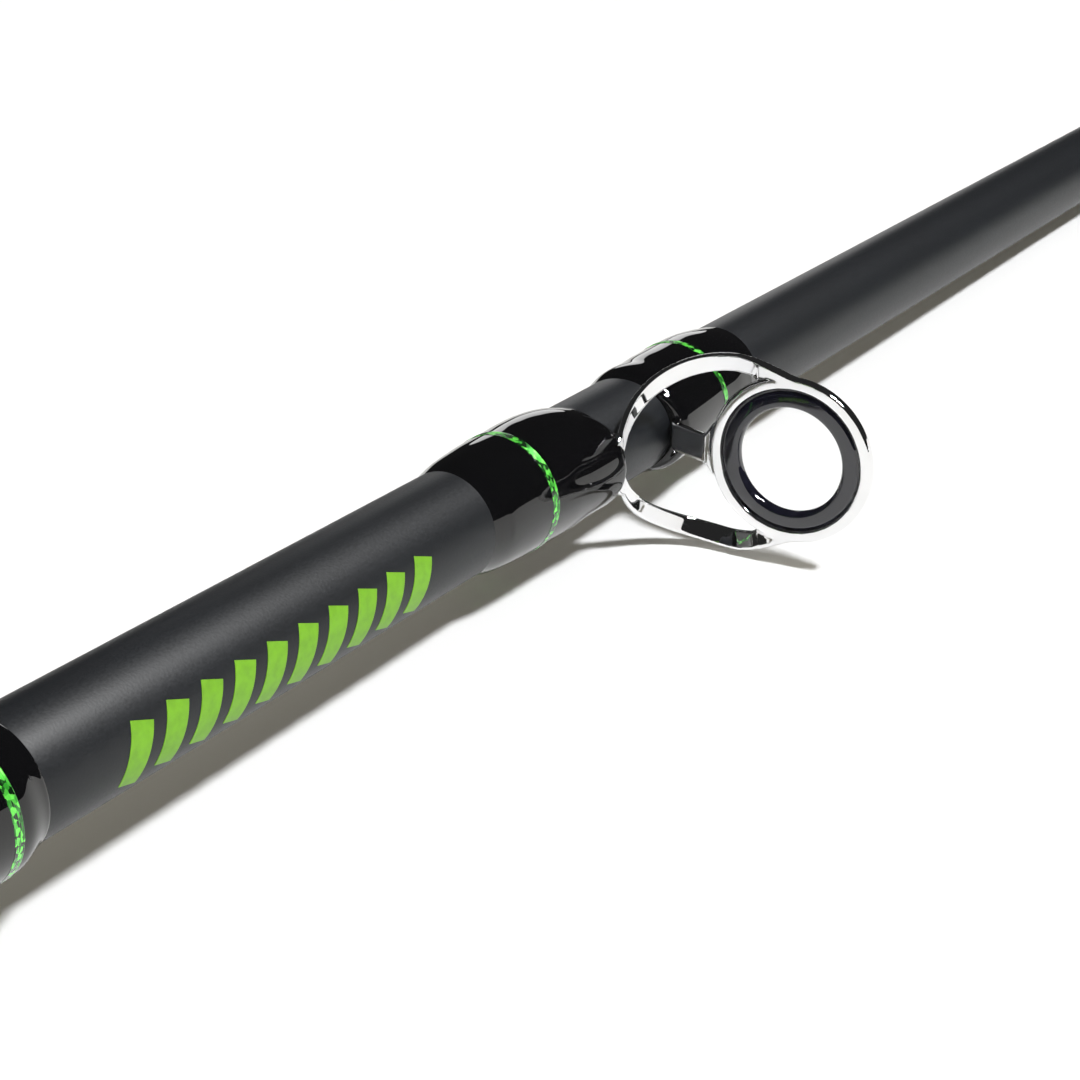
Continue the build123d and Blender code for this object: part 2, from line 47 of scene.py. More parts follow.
# How far a piece sinks into the one that it sits on
SINK = 0.05
# Edges sharper than these are shaded sharp, or bevelled
SHARP_ANGLE = radians(50.0)
BEVEL_ANGLE = radians(40.0)
# Points nearer than this are welded before a bevel
WELD_GAP = 0.002
# The largest share of a bar's side that its rounding takes, and the places that hold its flat sides
MOST_CORNER = 0.45
HELD_SHARES = (0.06, 0.94)
# The smallest size of a fillet
TINY = 1e-6
UNIT = (1.0, 1.0, 1.0)
Array = np.ndarray
Colour = tuple[float, float, float]
log = logging.getLogger("rod")


class Body(Enum):
    """The bodies of the frame that new pieces ride on."""

    HANDLE = "handle"
    UPPER = "upper_section"


# Shader maths


class Wire:
    """A shader value: an output socket whose arithmetic adds Math nodes."""

    def __init__(self, tree: "Tree", socket: Optional[bpy.types.NodeSocket]) -> None:
        """Keep the tree and the socket."""
        self.tree = tree
        self.socket = socket

    def _math(self, operation: str, first: "Value", second: "Value") -> "Wire":
        """Add a Math node of two values."""
        return self.tree.node("ShaderNodeMath", {"operation": operation}, {0: first, 1: second})

    def __add__(self, other: "Value") -> "Wire":
        """Sum."""
        return self._math("ADD", self, other)

    def __radd__(self, other: "Value") -> "Wire":
        """Sum with a number first."""
        return self._math("ADD", other, self)

    def __mul__(self, other: "Value") -> "Wire":
        """Product."""
        return self._math("MULTIPLY", self, other)

    def __rmul__(self, other: "Value") -> "Wire":
        """Product with a number first."""
        return self._math("MULTIPLY", other, self)

    def wave(self) -> "Wire":
        """Sine of the value, lifted to run from 0 to 1."""
        return self._math("SINE", self, 0.0) * 0.5 + 0.5


Value = Union[Wire, float, Sequence[float]]


class Tree:
    """The node tree of one material."""

    def __init__(self, name: str) -> None:
        """Start a material with an empty tree.

        Args:
            name: the material's name.
        """
        self.material = bpy.data.materials.new(name)
        self.material.use_nodes = True
        self.nodes = self.material.node_tree.nodes
        self.links = self.material.node_tree.links
        self.nodes.clear()

    def node(self, kind: str, settings: dict, inputs: dict, output: Union[int, str] = 0) -> Wire:
        """Add one node.

        Args:
            kind: the node's Blender type.
            settings: properties to set first; "stops" holds a ramp's (place, colour) pairs.
            inputs: values or wires, by socket name or number.
            output: the socket to hand back.

        Returns:
            The chosen output as a wire, which is empty for a node without outputs.
        """
        made = self.nodes.new(kind)
        for key, value in settings.items():
            if key == "stops":
                self._set_stops(made.color_ramp, value)
            else:
                setattr(made, key, value)
        for key, value in inputs.items():
            if isinstance(value, Wire):
                self.links.new(value.socket, made.inputs[key])
            else:
                made.inputs[key].default_value = value
        return Wire(self, made.outputs[output] if len(made.outputs) else None)

    @staticmethod
    def _set_stops(ramp: bpy.types.ColorRamp, stops: Sequence[tuple]) -> None:
        """Give a ramp its stops.

        Args:
            ramp: the ramp to fill.
            stops: (place, colour) pairs.
        """
        while len(ramp.elements) > len(stops):
            ramp.elements.remove(ramp.elements[-1])
        while len(ramp.elements) < len(stops):
            ramp.elements.new(1.0)
        for element, (place, colour) in zip(ramp.elements, stops):
            element.position = place
            element.color = (*colour, 1.0)

    def place(self, scale: Sequence[float] = UNIT) -> Wire:
        """Object coordinates, stretched by scale."""
        coordinates = self.node("ShaderNodeTexCoord", {}, {}, "Object")
        return self.node("ShaderNodeMapping", {}, {"Vector": coordinates, "Scale": scale}, "Vector")

    def axis(self, letter: str) -> Wire:
        """One Object coordinate, in metres."""
        coordinates = self.node("ShaderNodeTexCoord", {}, {}, "Object")
        return self.node("ShaderNodeSeparateXYZ", {}, {"Vector": coordinates}, letter)

    def noise(self, scale: float, detail: float = 2.0, stretch: Sequence[float] = UNIT) -> Wire:
        """Soft noise from 0 to 1; scale is in cycles a metre."""
        inputs = {"Vector": self.place(stretch), "Scale": scale, "Detail": detail}
        return self.node("ShaderNodeTexNoise", {}, inputs)

    def cells(self, scale: float, output: str, stretch: Sequence[float] = UNIT) -> Wire:
        """Voronoi cells; scale is in cells a metre."""
        inputs = {"Vector": self.place(stretch), "Scale": scale}
        return self.node("ShaderNodeTexVoronoi", {}, inputs, output)

    def ramp(self, value: Wire, stops: Sequence[tuple]) -> Wire:
        """Colours along a value."""
        return self.node("ShaderNodeValToRGB", {"stops": stops}, {"Fac": value}, "Color")

    def bump(self, height: Wire, depth: float, strength: float = 1.0) -> Wire:
        """A normal from a height of 0 to 1 that stands for depth metres."""
        inputs = {"Height": height, "Distance": depth, "Strength": strength}
        return self.node("ShaderNodeBump", {}, inputs, "Normal")

    def surface(self, inputs: dict) -> None:
        """Close the tree with a Principled shader of these inputs."""
        shader = self.node("ShaderNodeBsdfPrincipled", {}, inputs, "BSDF")
        self.node("ShaderNodeOutputMaterial", {}, {"Surface": shader})


# Finishes


class Texture(Enum):
    """The textures that a finish is layered from, each running from 0 to 1."""

    NOISE = "noise"
    CELLS = "cells"
    FLECKS = "flecks"
    TURNS = "turns"


@dataclass(frozen=True)
class Layer:
    """One texture of a finish, with its shares of the colour and the roughness, and its bump.

    Noise, cells and flecks count their scale in a metre. The scale of turns is their pitch along the
    rod, in metres, and so is the depth of the bump.
    """

    texture: Texture
    scale: float
    detail: float = 2.0
    stretch: tuple = UNIT
    colour: float = 0.0
    rough: float = 0.0
    depth: float = 0.0
    bump: float = 0.0

    def wire(self, tree: Tree) -> Wire:
        """The texture's value in a material.

        Args:
            tree: the tree of the material.

        Returns:
            The value as a wire.
        """
        if self.texture is Texture.TURNS:
            return (tree.axis("X") * (2.0 * pi / self.scale)).wave()
        if self.texture is Texture.NOISE:
            return tree.noise(self.scale, self.detail, self.stretch)
        if self.texture is Texture.CELLS:
            return tree.cells(self.scale, "Distance", self.stretch)
        flecks = tree.cells(self.scale, "Color", self.stretch)
        return tree.node("ShaderNodeSeparateColor", {}, {"Color": flecks}, "Red")


@dataclass(frozen=True)
class Finish:
    """A finish: its name, the record's slot, and what its nodes are laid from.

    The base colour is read off the stops at the sum of every layer times its share, the roughness is
    rough plus the sum of every layer times its share, and sockets are more inputs of the shader.
    """

    name: str
    slot: str
    stops: tuple
    rough: float
    layers: tuple
    sockets: tuple = ()

    def lay(self, tree: Tree) -> None:
        """Lay the finish's nodes.

        Args:
            tree: the tree of the material.
        """
        wires = [(layer, layer.wire(tree)) for layer in self.layers]
        tones = [wire * layer.colour for layer, wire in wires if layer.colour]
        grains = [wire * layer.rough for layer, wire in wires if layer.rough]
        inputs = {"Base Color": tree.ramp(sum(tones[1:], tones[0]), self.stops),
                  "Roughness": sum(grains, self.rough), **dict(self.sockets)}
        for layer, wire in wires:
            if layer.depth:
                inputs["Normal"] = tree.bump(wire, layer.depth, layer.bump)
        tree.surface(inputs)

    def material(self) -> bpy.types.Material:
        """The finish's material, made on first use.

        Returns:
            The material, named after the finish.
        """
        title = f"finish_{self.name}"
        found = bpy.data.materials.get(title)
        if found:
            return found
        tree = Tree(title)
        self.lay(tree)
        return tree.material


def shaded(colour: Colour, share: float) -> Colour:
    """A colour made lighter or darker."""
    return tuple(c * share for c in colour)


def moulded(name: str, slot: str, dark: Colour, light: Colour, rough: float, grain: float = 2600.0,
            depth: float = 0.00004) -> Finish:
    """Moulded plastic or rubber: a fine spark-eroded grain, and a slow cloud in tone and roughness."""
    layers = (Layer(Texture.NOISE, grain, 3.0, colour=0.6, depth=depth, bump=0.6),
              Layer(Texture.NOISE, 70.0, colour=0.4, rough=0.12))
    return Finish(name, slot, ((0.3, dark), (0.7, light)), rough, layers)


def anodised(name: str, slot: str, colour: Colour) -> Finish:
    """Turned and anodised aluminium: turning marks round the rod's axis, and streaks along them.

    Args:
        name: the finish's name.
        slot: the record's slot.
        colour: its darker colour.

    Returns:
        The finish.
    """
    layers = (Layer(Texture.TURNS, 0.14 * MM, rough=0.06, depth=0.000012, bump=0.4),
              Layer(Texture.NOISE, 500.0, 3.0, (8.0, 1.0, 1.0), colour=1.0, rough=0.1))
    stops = ((0.3, colour), (0.75, shaded(colour, 1.5)))
    return Finish(name, slot, stops, 0.18, layers, (("Metallic", 0.9),))


PAINT = (0.0046, 0.0060, 0.0082)
STEEL = (0.88, 0.88, 0.89)
INK = (0.165, 0.420, 0.004)
PAPER = (0.90, 0.90, 0.89)

# Fine-grained satin paint with slow clouds
BLANK_SATIN = Finish(
    "blank_satin", "blank", ((0.25, shaded(PAINT, 0.65)), (0.75, shaded(PAINT, 1.35))), rough=0.37,
    layers=(Layer(Texture.NOISE, 90.0, 3.0, colour=0.4),
            Layer(Texture.NOISE, 5200.0, colour=0.6, rough=0.14, depth=0.000012, bump=0.5)),
    sockets=(("IOR", 1.44),))

# Turns of black thread below a clear coat with slow waves
WRAP_EPOXY = Finish(
    "wrap_epoxy", "thread_epoxy", ((0.0, (0.0016, 0.0016, 0.0019)), (1.0, (0.0050, 0.0050, 0.0056))),
    rough=0.01,
    layers=(Layer(Texture.TURNS, 0.18 * MM, colour=1.0),
            Layer(Texture.NOISE, 170.0, 1.0, rough=0.02, depth=0.00005, bump=0.2)),
    sockets=(("IOR", 1.54),))

# Twisted metallic thread under the coat: flecks of foil with their own tilt, and painted sparkle in their
# brightness
TRIM_THREAD_PAINTED_SPARKLE = Finish(
    "trim_thread", "trim_thread",
    # Each fleck's brightness in the base colour, from near black to pale green, is painted sparkle:
    # painted glints and unlit flecks
    ((0.15, (0.002, 0.022, 0.003)), (0.40, (0.010, 0.130, 0.010)), (0.62, (0.035, 0.420, 0.025)),
     (0.85, (0.160, 0.900, 0.090))), rough=0.20,
    layers=(Layer(Texture.FLECKS, 2600.0, stretch=(1.6, 1.0, 1.0), colour=1.0, rough=0.20,
                  depth=0.00008, bump=0.8),),
    sockets=(("Metallic", 0.45), ("Coat Weight", 1.0), ("Coat Roughness", 0.02)))

# Stamped steel polished to a mirror, with faint rub marks and haze
GUIDE_STEEL = Finish(
    "guide_steel", "guide_steel", ((0.35, shaded(STEEL, 0.94)), (0.65, STEEL)), rough=0.005,
    layers=(Layer(Texture.NOISE, 1500.0, 3.0, rough=0.03),
            Layer(Texture.NOISE, 240.0, colour=1.0, rough=0.03, depth=0.00001, bump=0.25)),
    sockets=(("Metallic", 1.0),))

# Dense ceramic with a hard gloss
RING_CERAMIC = Finish(
    "ring_ceramic", "ring_ceramic", ((0.3, (0.005, 0.005, 0.010)), (0.7, (0.010, 0.010, 0.018))),
    rough=0.03, layers=(Layer(Texture.NOISE, 900.0, 3.0, colour=1.0, rough=0.05),),
    sockets=(("IOR", 1.75),))

# Flat green ink that thins a little here and there
PRINT_GREEN = Finish(
    "print_green", "trim_thread", ((0.3, shaded(INK, 0.82)), (0.6, INK)), rough=0.42,
    layers=(Layer(Texture.NOISE, 1400.0, 3.0, colour=1.0, rough=0.1),))

# Closed-cell foam: small pores, with a slow change of tone
GRIP_FOAM = Finish(
    "grip_foam", "grip_foam", ((0.2, (0.010, 0.010, 0.011)), (0.8, (0.026, 0.026, 0.028))), rough=0.75,
    layers=(Layer(Texture.CELLS, 2300.0, colour=0.6, depth=0.00012, bump=0.7),
            Layer(Texture.NOISE, 120.0, 4.0, colour=0.5, rough=0.15)))

CAP_RUBBER = moulded("cap_rubber", "cap_rubber", (0.008, 0.008, 0.008), (0.016, 0.016, 0.016), 0.56,
                     1500.0, 0.00006)
SEAT_PLASTIC = moulded("seat_plastic", "seat", (0.012, 0.012, 0.013), (0.024, 0.024, 0.026), 0.39)
NUT_PLASTIC = moulded("nut_plastic", "nut", (0.016, 0.016, 0.017), (0.030, 0.030, 0.032), 0.32)
ARBOR_PLAIN = moulded("arbor_foam", "arbor", (0.20, 0.20, 0.20), (0.32, 0.32, 0.32), 0.74)
CHECK_METAL = anodised("check_metal", "check_metal", (0.050, 0.050, 0.056))
HOOD_METAL = anodised("hood_metal", "hood", (0.070, 0.070, 0.076))

# Matt white paper of the floor, with the faintest cloud
FLOOR_PAPER = Finish(
    "floor_paper", "", ((0.3, shaded(PAPER, 0.985)), (0.7, PAPER)), rough=0.95,
    layers=(Layer(Texture.NOISE, 3.0, colour=1.0),), sockets=(("Specular IOR Level", 0.1),))


# Surfaces


@dataclass
class Shell:
    """A closed surface: points in millimetres and quads of point numbers."""

    points: Array
    quads: Array

    @staticmethod
    def join(shells: Sequence["Shell"]) -> "Shell":
        """Several shells as one.

        Args:
            shells: the shells, in order.

        Returns:
            One shell with renumbered quads.
        """
        starts = np.cumsum([0] + [len(s.points) for s in shells[:-1]])
        quads = np.concatenate([s.quads + start for s, start in zip(shells, starts)])
        return Shell(np.concatenate([s.points for s in shells]), quads)

    def volume(self) -> float:
        """Signed volume, positive where the faces point outwards."""
        a, b, c, d = (self.points[self.quads[:, k]] for k in range(4))
        return float((np.cross(b - a, c - a) * a).sum() + (np.cross(c - a, d - a) * a).sum()) / 6.0

    def outward(self) -> "Shell":
        """The shell with its faces pointing outwards."""
        return self if self.volume() > 0 else Shell(self.points, self.quads[:, ::-1])


def grid_shell(points: Array, close_rows: bool) -> Shell:
    """A surface on a grid whose columns go round.

    Point (i, j) joins (i + 1, j) and (i, j + 1), and column numbers wrap round.

    Args:
        points: array of rows, columns and three coordinates.
        close_rows: join the last row to the first, as on a ring; otherwise the end rows are closed
            by the caller, each having shrunk to one point.

    Returns:
        The shell, pointing outwards.
    """
    rows, columns = points.shape[:2]
    i, j = np.meshgrid(np.arange(rows if close_rows else rows - 1), np.arange(columns), indexing="ij")
    below = ((i + 1) % rows) * columns
    right = (j + 1) % columns
    quads = np.stack([i * columns + j, i * columns + right, below + right, below + j], axis=-1)
    return Shell(points.reshape(-1, 3), quads.reshape(-1, 4)).outward()


def angles(count: int) -> Array:
    """Even angles once round a circle."""
    return np.linspace(0.0, 2.0 * pi, count, endpoint=False)


def turn(x: Array, radius: Array, segments: int) -> Array:
    """Rows of circles about the rod's axis.

    Point = (x, -radius cos t, radius sin t), with t from 0, on the guides' side, all the way round.

    Args:
        x: place of each row, or an array of rows by segments.
        radius: radius of each row, or an array of rows by segments.
        segments: columns round the axis.

    Returns:
        Grid of points.
    """
    angle = angles(segments)
    along, radius = (v if v.ndim == 2 else v[:, None] * np.ones(segments) for v in (x, radius))
    return np.stack([along, -radius * np.cos(angle), radius * np.sin(angle)], axis=-1)


def round_corners(outline: Sequence[tuple], corner: float, steps: int = 4) -> Array:
    """A closed outline of (x, r) points with each corner rounded.

    Each corner is cut back along both its sides and joined by a quadratic curve with the corner as
    its control point.

    Args:
        outline: the corners in order.
        corner: how far back each corner is cut, at most a third of a side.
        steps: points on each curve.

    Returns:
        The rounded outline.
    """
    here = np.array(outline, float)
    sides = [np.roll(here, step, axis=0) - here for step in (1, -1)]
    reach = [np.linalg.norm(side, axis=1, keepdims=True) for side in sides]
    start, end = (here + side / far * np.minimum(corner, far / 3.0) for side, far in zip(sides, reach))
    t = np.linspace(0.0, 1.0, steps)[None, :, None]
    bends = (1 - t) ** 2 * start[:, None] + 2 * t * (1 - t) * here[:, None] + t ** 2 * end[:, None]
    return bends.reshape(-1, 2)


def lathe(outline: Sequence[tuple], corner: float, segments: int = 96) -> Shell:
    """A ring turned about the rod's axis from a closed outline with rounded corners.

    Args:
        outline: (x, radius) corners.
        corner: size of the rounding.
        segments: columns round the axis.

    Returns:
        The shell.
    """
    profile = round_corners(outline, corner)
    return grid_shell(turn(profile[:, 0], profile[:, 1], segments), True)


def sleeve(x: Array, outer: Array, inner: Array, segments: int) -> Shell:
    """A hollow ring about the rod's axis.

    Args:
        x: place of each row, or an array of rows by segments.
        outer: radius outside at each place.
        inner: radius inside at each place.
        segments: columns round the axis.

    Returns:
        The shell.
    """
    rows = turn(np.concatenate([x, x[::-1]]), np.concatenate([outer, inner[::-1]]), segments)
    return grid_shell(rows, True)


def strip(outer: Array, inner: Array, normal: Array, thick: Array, corner: float, closed: bool = False,
          steps: int = 5) -> Shell:
    """A flat bar between two edges.

    Each row is a rectangle smaller by the corner all round, with a circle of that radius run round it:
    point = middle + side (a (width / 2 - c) + c cos t) + normal (b (thick / 2 - c) + c sin t), with t
    round the circle and (a, b) the signs of its quarter. Two more points hold each flat side. Open ends
    shrink to their middle.

    Args:
        outer: points of one edge.
        inner: points of the other edge.
        normal: the bar's flat side at each row, squared up with its width.
        thick: thickness at each row.
        corner: radius of the rounding.
        closed: the rows go round a ring.
        steps: points on each quarter of the circle.

    Returns:
        The shell.
    """
    across = outer - inner
    width = np.linalg.norm(across, axis=1)[:, None, None]
    thick = thick[:, None, None]
    c = np.minimum(corner, MOST_CORNER * np.minimum(width, thick))
    t = np.linspace(0.0, pi / 2, steps)[None, None] + np.arange(4)[None, :, None] * pi / 2
    a, b = (np.array(signs)[None, :, None] for signs in ((1, -1, -1, 1), (1, 1, -1, -1)))
    place = np.stack([a * (width / 2 - c) + c * np.cos(t), b * (thick / 2 - c) + c * np.sin(t)], axis=-1)
    gap = np.roll(place[:, :, :1], -1, axis=1) - place[:, :, -1:]
    held = place[:, :, -1:] + gap * np.array(HELD_SHARES)[None, None, :, None]
    reach, rise = np.moveaxis(np.concatenate([place, held], axis=2).reshape(len(outer), -1, 2), -1, 0)
    side = across[:, None] / width
    square = normal[:, None] - side * (normal[:, None] * side).sum(-1, keepdims=True)
    square /= np.linalg.norm(square, axis=-1, keepdims=True)
    middle = (outer + inner)[:, None] / 2
    grid = middle + side * reach[..., None] + square * rise[..., None]
    if not closed:
        ends = [np.repeat(end, grid.shape[1], axis=1) for end in (middle[:1], middle[-1:])]
        grid = np.concatenate([ends[0], grid, ends[1]])
    return grid_shell(grid, closed)


def sweep(path: Array, normal: Array, width: Array, thick: Array, corner: float) -> Shell:
    """A flat bar carried along a path.

    Its edges are path + side * width / 2 and path - side * width / 2, with side across path and normal.

    Args:
        path: points of the middle line.
        normal: the bar's flat side at each point.
        width: width at each point.
        thick: thickness at each point.
        corner: radius of the rounding.

    Returns:
        The shell.
    """
    side = np.cross(np.gradient(path, axis=0), normal)
    half = side / np.linalg.norm(side, axis=1, keepdims=True) * width[:, None] / 2
    return strip(path + half, path - half, normal, thick, corner)


def flat_ring(place: Callable[[Array, Array], Array], normal: Array, radii: tuple[float, float],
              thick: float, corner: float, segments: int) -> Shell:
    """A flat ring on a leaning plate: a bar between two circles.

    Args:
        place: points of the plate from (up, rise) about the ring's centre.
        normal: the plate's flat side.
        radii: the outer and the inner radius.
        thick: thickness of the ring.
        corner: radius of its rounding.
        segments: rows round the ring.

    Returns:
        The shell.
    """
    t = angles(segments)
    edges = [place(radius * np.cos(t), radius * np.sin(t)) for radius in radii]
    return strip(*edges, np.tile(normal, (segments, 1)), np.full(segments, thick), corner, True)


def ring_shell(place: Callable[[Array, Array], Array], normal: Array, outline: Array,
               segments: int) -> Shell:
    """A ring turned about its own axis on a leaning plate.

    Point = place (radius cos t, radius sin t) + offset * normal.

    Args:
        place: points of the plate from (up, rise) about the ring's centre.
        normal: the plate's flat side.
        outline: (offset, radius) points of the ring's section.
        segments: columns round the ring.

    Returns:
        The shell.
    """
    offset, radius = (np.repeat(v, segments) for v in outline.T)
    t = np.tile(angles(segments), len(outline))
    points = place(radius * np.cos(t), radius * np.sin(t)) + offset[:, None] * normal
    return grid_shell(points.reshape(len(outline), segments, 3), True)


def even(path: Array, count: int) -> Array:
    """A path's points set again at even steps along it.

    Args:
        path: the points, one a row.
        count: how many points are wanted.

    Returns:
        The new points.
    """
    reach = np.concatenate([[0.0], np.cumsum(np.linalg.norm(np.diff(path, axis=0), axis=1))])
    at = np.linspace(0.0, reach[-1], count)
    return np.stack([np.interp(at, reach, path[:, k]) for k in range(path.shape[1])], axis=-1)


def soften(path: Array, rounds: int) -> Array:
    """A path with its corners eased.

    Each point goes to (before + 2 * itself + after) / 4; the ends stay.

    Args:
        path: the points, one a row.
        rounds: how many times it is done.

    Returns:
        The new points.
    """
    for _ in range(rounds):
        inner = (path[:-2] + 2.0 * path[1:-1] + path[2:]) / 4.0
        path = np.concatenate([path[:1], inner, path[-1:]])
    return path


def ease(stations: Sequence[tuple], at: Array) -> Array:
    """Heights through stations, with a level start and end to each stretch.

    Height = first + (second - first) (3 t^2 - 2 t^3), with t from 0 to 1 along the stretch; before the
    first station and past the last the height stays.

    Args:
        stations: (place, height) pairs.
        at: places where the height is wanted.

    Returns:
        The heights.
    """
    places, heights = np.array(sorted(stations), float).T
    k = np.clip(np.searchsorted(places, at) - 1, 0, len(places) - 2)
    t = np.clip((at - places[k]) / (places[k + 1] - places[k]), 0.0, 1.0)
    return heights[k] + (heights[k + 1] - heights[k]) * t * t * (3.0 - 2.0 * t)


def curve(stations: Sequence[tuple], at: Array) -> Array:
    """Heights through stations on a smooth cubic curve.

    Each station's slope is taken across its neighbours.

    Args:
        stations: (place, height) pairs.
        at: places where the height is wanted.

    Returns:
        The heights.
    """
    places, heights = np.array(sorted(stations), float).T
    slopes = np.gradient(heights, places)
    k = np.clip(np.searchsorted(places, at) - 1, 0, len(places) - 2)
    step = places[k + 1] - places[k]
    t = (at - places[k]) / step
    return (heights[k] * (1 + 2 * t) * (1 - t) ** 2 + heights[k + 1] * t * t * (3 - 2 * t)
            + step * (slopes[k] * t * (1 - t) ** 2 - slopes[k + 1] * t * t * (1 - t)))


def soft_max(a: Array, b: Array, blend: float) -> Array:
    """The larger of two heights, with a fillet of size blend where they meet."""
    near = np.maximum(blend - np.abs(a - b), 0.0) / blend
    return np.maximum(a, b) + near * near * blend / 4.0


# Pieces


def linked(name: str, data: bpy.types.ID) -> bpy.types.Object:
    """A new object of some data, linked to the scene.

    Args:
        name: the object's name.
        data: its mesh, light or camera.

    Returns:
        The object.
    """
    thing = bpy.data.objects.new(name, data)
    bpy.context.collection.objects.link(thing)
    return thing


def mesh_of(name: str, shell: Shell) -> bpy.types.Mesh:
    """A smooth mesh of a shell, in metres, with shrunken ends merged.

    Args:
        name: the mesh's name.
        shell: its surface.

    Returns:
        The mesh.
    """
    mesh = bpy.data.meshes.new(name)
    points, inverse = np.unique(np.round(shell.points, 6), axis=0, return_inverse=True)
    quads = inverse.reshape(-1)[shell.quads]
    faces = [list(dict.fromkeys(quad)) for quad in quads.tolist()]
    mesh.from_pydata((points * MM).tolist(), [], [face for face in faces if len(face) > 2])
    mesh.validate()
    mesh.polygons.foreach_set("use_smooth", np.ones(len(mesh.polygons), bool))
    mesh.set_sharp_from_angle(angle=SHARP_ANGLE)
    return mesh


@dataclass
class Piece:
    """One visible piece: its surface, finish, body and the nodes that it stands for."""

    name: str
    shell: Shell
    finish: Finish
    body: Body
    nodes: tuple = ()
    voxel: float = 0.0
    polish: int = 4

    def place(self) -> None:
        """Make the object, dress it and seat it in the frame."""
        thing = linked(self.name, mesh_of(self.name, self.shell))
        if self.voxel:
            self._fuse(thing)
        thing.data.materials.clear()
        thing.data.materials.append(self.finish.material())
        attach(thing, self.body.value)
        if self.nodes:
            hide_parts(*self.nodes)
        log.info("%s on %s, %d faces", self.name, self.body.value, len(thing.data.polygons))

    def _fuse(self, thing: bpy.types.Object) -> None:
        """Join overlapping shells into one skin and soften its edges.

        Args:
            thing: the object whose mesh is joined.
        """
        skin = thing.modifiers.new("skin", "REMESH")
        skin.mode = "VOXEL"
        skin.voxel_size = self.voxel * MM
        soft = thing.modifiers.new("soft", "SMOOTH")
        soft.factor = 0.5
        soft.iterations = self.polish
        bpy.context.view_layer.update()
        graph = bpy.context.evaluated_depsgraph_get()
        fused = bpy.data.meshes.new_from_object(thing.evaluated_get(graph))
        thing.modifiers.clear()
        thing.data = fused
        fused.polygons.foreach_set("use_smooth", np.ones(len(fused.polygons), bool))


def dress(node: str, finish: Finish, edge: float = 0.0) -> None:
    """Give a CAD node its finish, and with edge a soft bevel on its sharp edges.

    Args:
        node: the node's name.
        finish: its finish.
        edge: bevel width in millimetres.
    """
    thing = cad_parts[node]
    thing.data.materials.clear()
    thing.data.materials.append(finish.material())
    if edge:
        weld = thing.modifiers.new("weld", "WELD")
        weld.merge_threshold = WELD_GAP * MM
        bevel = thing.modifiers.new("edge", "BEVEL")
        bevel.width = edge * MM
        bevel.segments = 2
        bevel.limit_method = "ANGLE"
        bevel.angle_limit = BEVEL_ANGLE
        bevel.harden_normals = False
    log.info("%s dressed in %s", node, finish.name)


# Sub-assemblies


@dataclass
class Blank:
    """Both tubes of the rod, and the print on the upper one."""

    length: float = 1830.0
    stripper_at: float = 600.0
    stripper_radius: float = 4.163
    tip_radius: float = 0.90
    wall: float = 0.90
    tip_bore: float = 0.40
    blank_end: float = 1826.2
    mouth: float = 485.0
    mouth_ease: float = 0.2
    mouth_drop: float = 0.15
    spigot_end: float = 545.0
    spigot_corner: float = 0.3
    running_gap: float = 0.05
    butt_radius: float = 5.20
    butt_start: float = 6.0
    handle_wall: float = 1.20
    rows: int = 160
    segments: int = 128
    print_start: float = 537.2
    print_pitch: float = 3.25
    print_bars: int = 10
    print_width: float = 1.9
    print_low: float = -33.0
    print_high: float = 20.0
    print_slant: float = 1.5
    print_rows: int = 16
    print_thick: float = 0.05
    print_corner: float = 0.02

    def radius(self, x: Union[float, Array]) -> Union[float, Array]:
        """Outer radius of the upper tube, which falls evenly from the stripper to the tip."""
        share = (x - self.stripper_at) / (self.length - self.stripper_at)
        return self.stripper_radius + (self.tip_radius - self.stripper_radius) * share

    def spigot(self, x: float) -> float:
        """Radius of the spigot inside the upper tube."""
        return self.radius(x) - self.wall - self.running_gap

    def handle(self, x: Union[float, Array]) -> Union[float, Array]:
        """Outer radius of the handle's tube."""
        return self.butt_radius + (self.spigot(self.mouth) - self.butt_radius) * x / self.mouth

    def build(self) -> None:
        """Make the tubes and the print."""
        x = np.linspace(self.mouth + self.mouth_ease, self.blank_end, self.rows)
        x = np.concatenate([[self.mouth], x])
        outer = self.radius(x)
        inner = np.maximum(outer - self.wall, self.tip_bore)
        outer[0] -= self.mouth_drop
        shell = sleeve(x, outer, inner, self.segments)
        Piece("upper_tube", shell, BLANK_SATIN, Body.UPPER, ("upper_blank",)).place()
        outside = [(self.butt_start, self.handle(self.butt_start)), (self.mouth, self.handle(self.mouth)),
                   (self.spigot_end, self.spigot(self.spigot_end))]
        bore = [(place, radius - self.handle_wall) for place, radius in outside[::-1]]
        shell = lathe(outside + bore, self.spigot_corner, self.segments)
        Piece("handle_tube", shell, BLANK_SATIN, Body.HANDLE, ("handle_blank",)).place()
        self._print()

    def _print(self) -> None:
        """Plain slanted bars on the tube: strips that follow its round side."""
        angle = np.radians(np.linspace(self.print_low, self.print_high, self.print_rows))
        share = np.linspace(-0.5, 0.5, self.print_rows)
        width, thick = (np.full(self.print_rows, size) for size in (self.print_width, self.print_thick))
        normal = np.stack([np.zeros_like(angle), -np.cos(angle), np.sin(angle)], axis=-1)
        bars = []
        for number in range(self.print_bars):
            x = self.print_start + number * self.print_pitch + share * self.print_slant
            path = np.stack([x, *(normal[:, 1:] * self.radius(x)[:, None]).T], axis=-1)
            bars.append(sweep(path, normal, width, thick, self.print_corner))
        Piece("print_bars", Shell.join(bars), PRINT_GREEN, Body.UPPER).place()


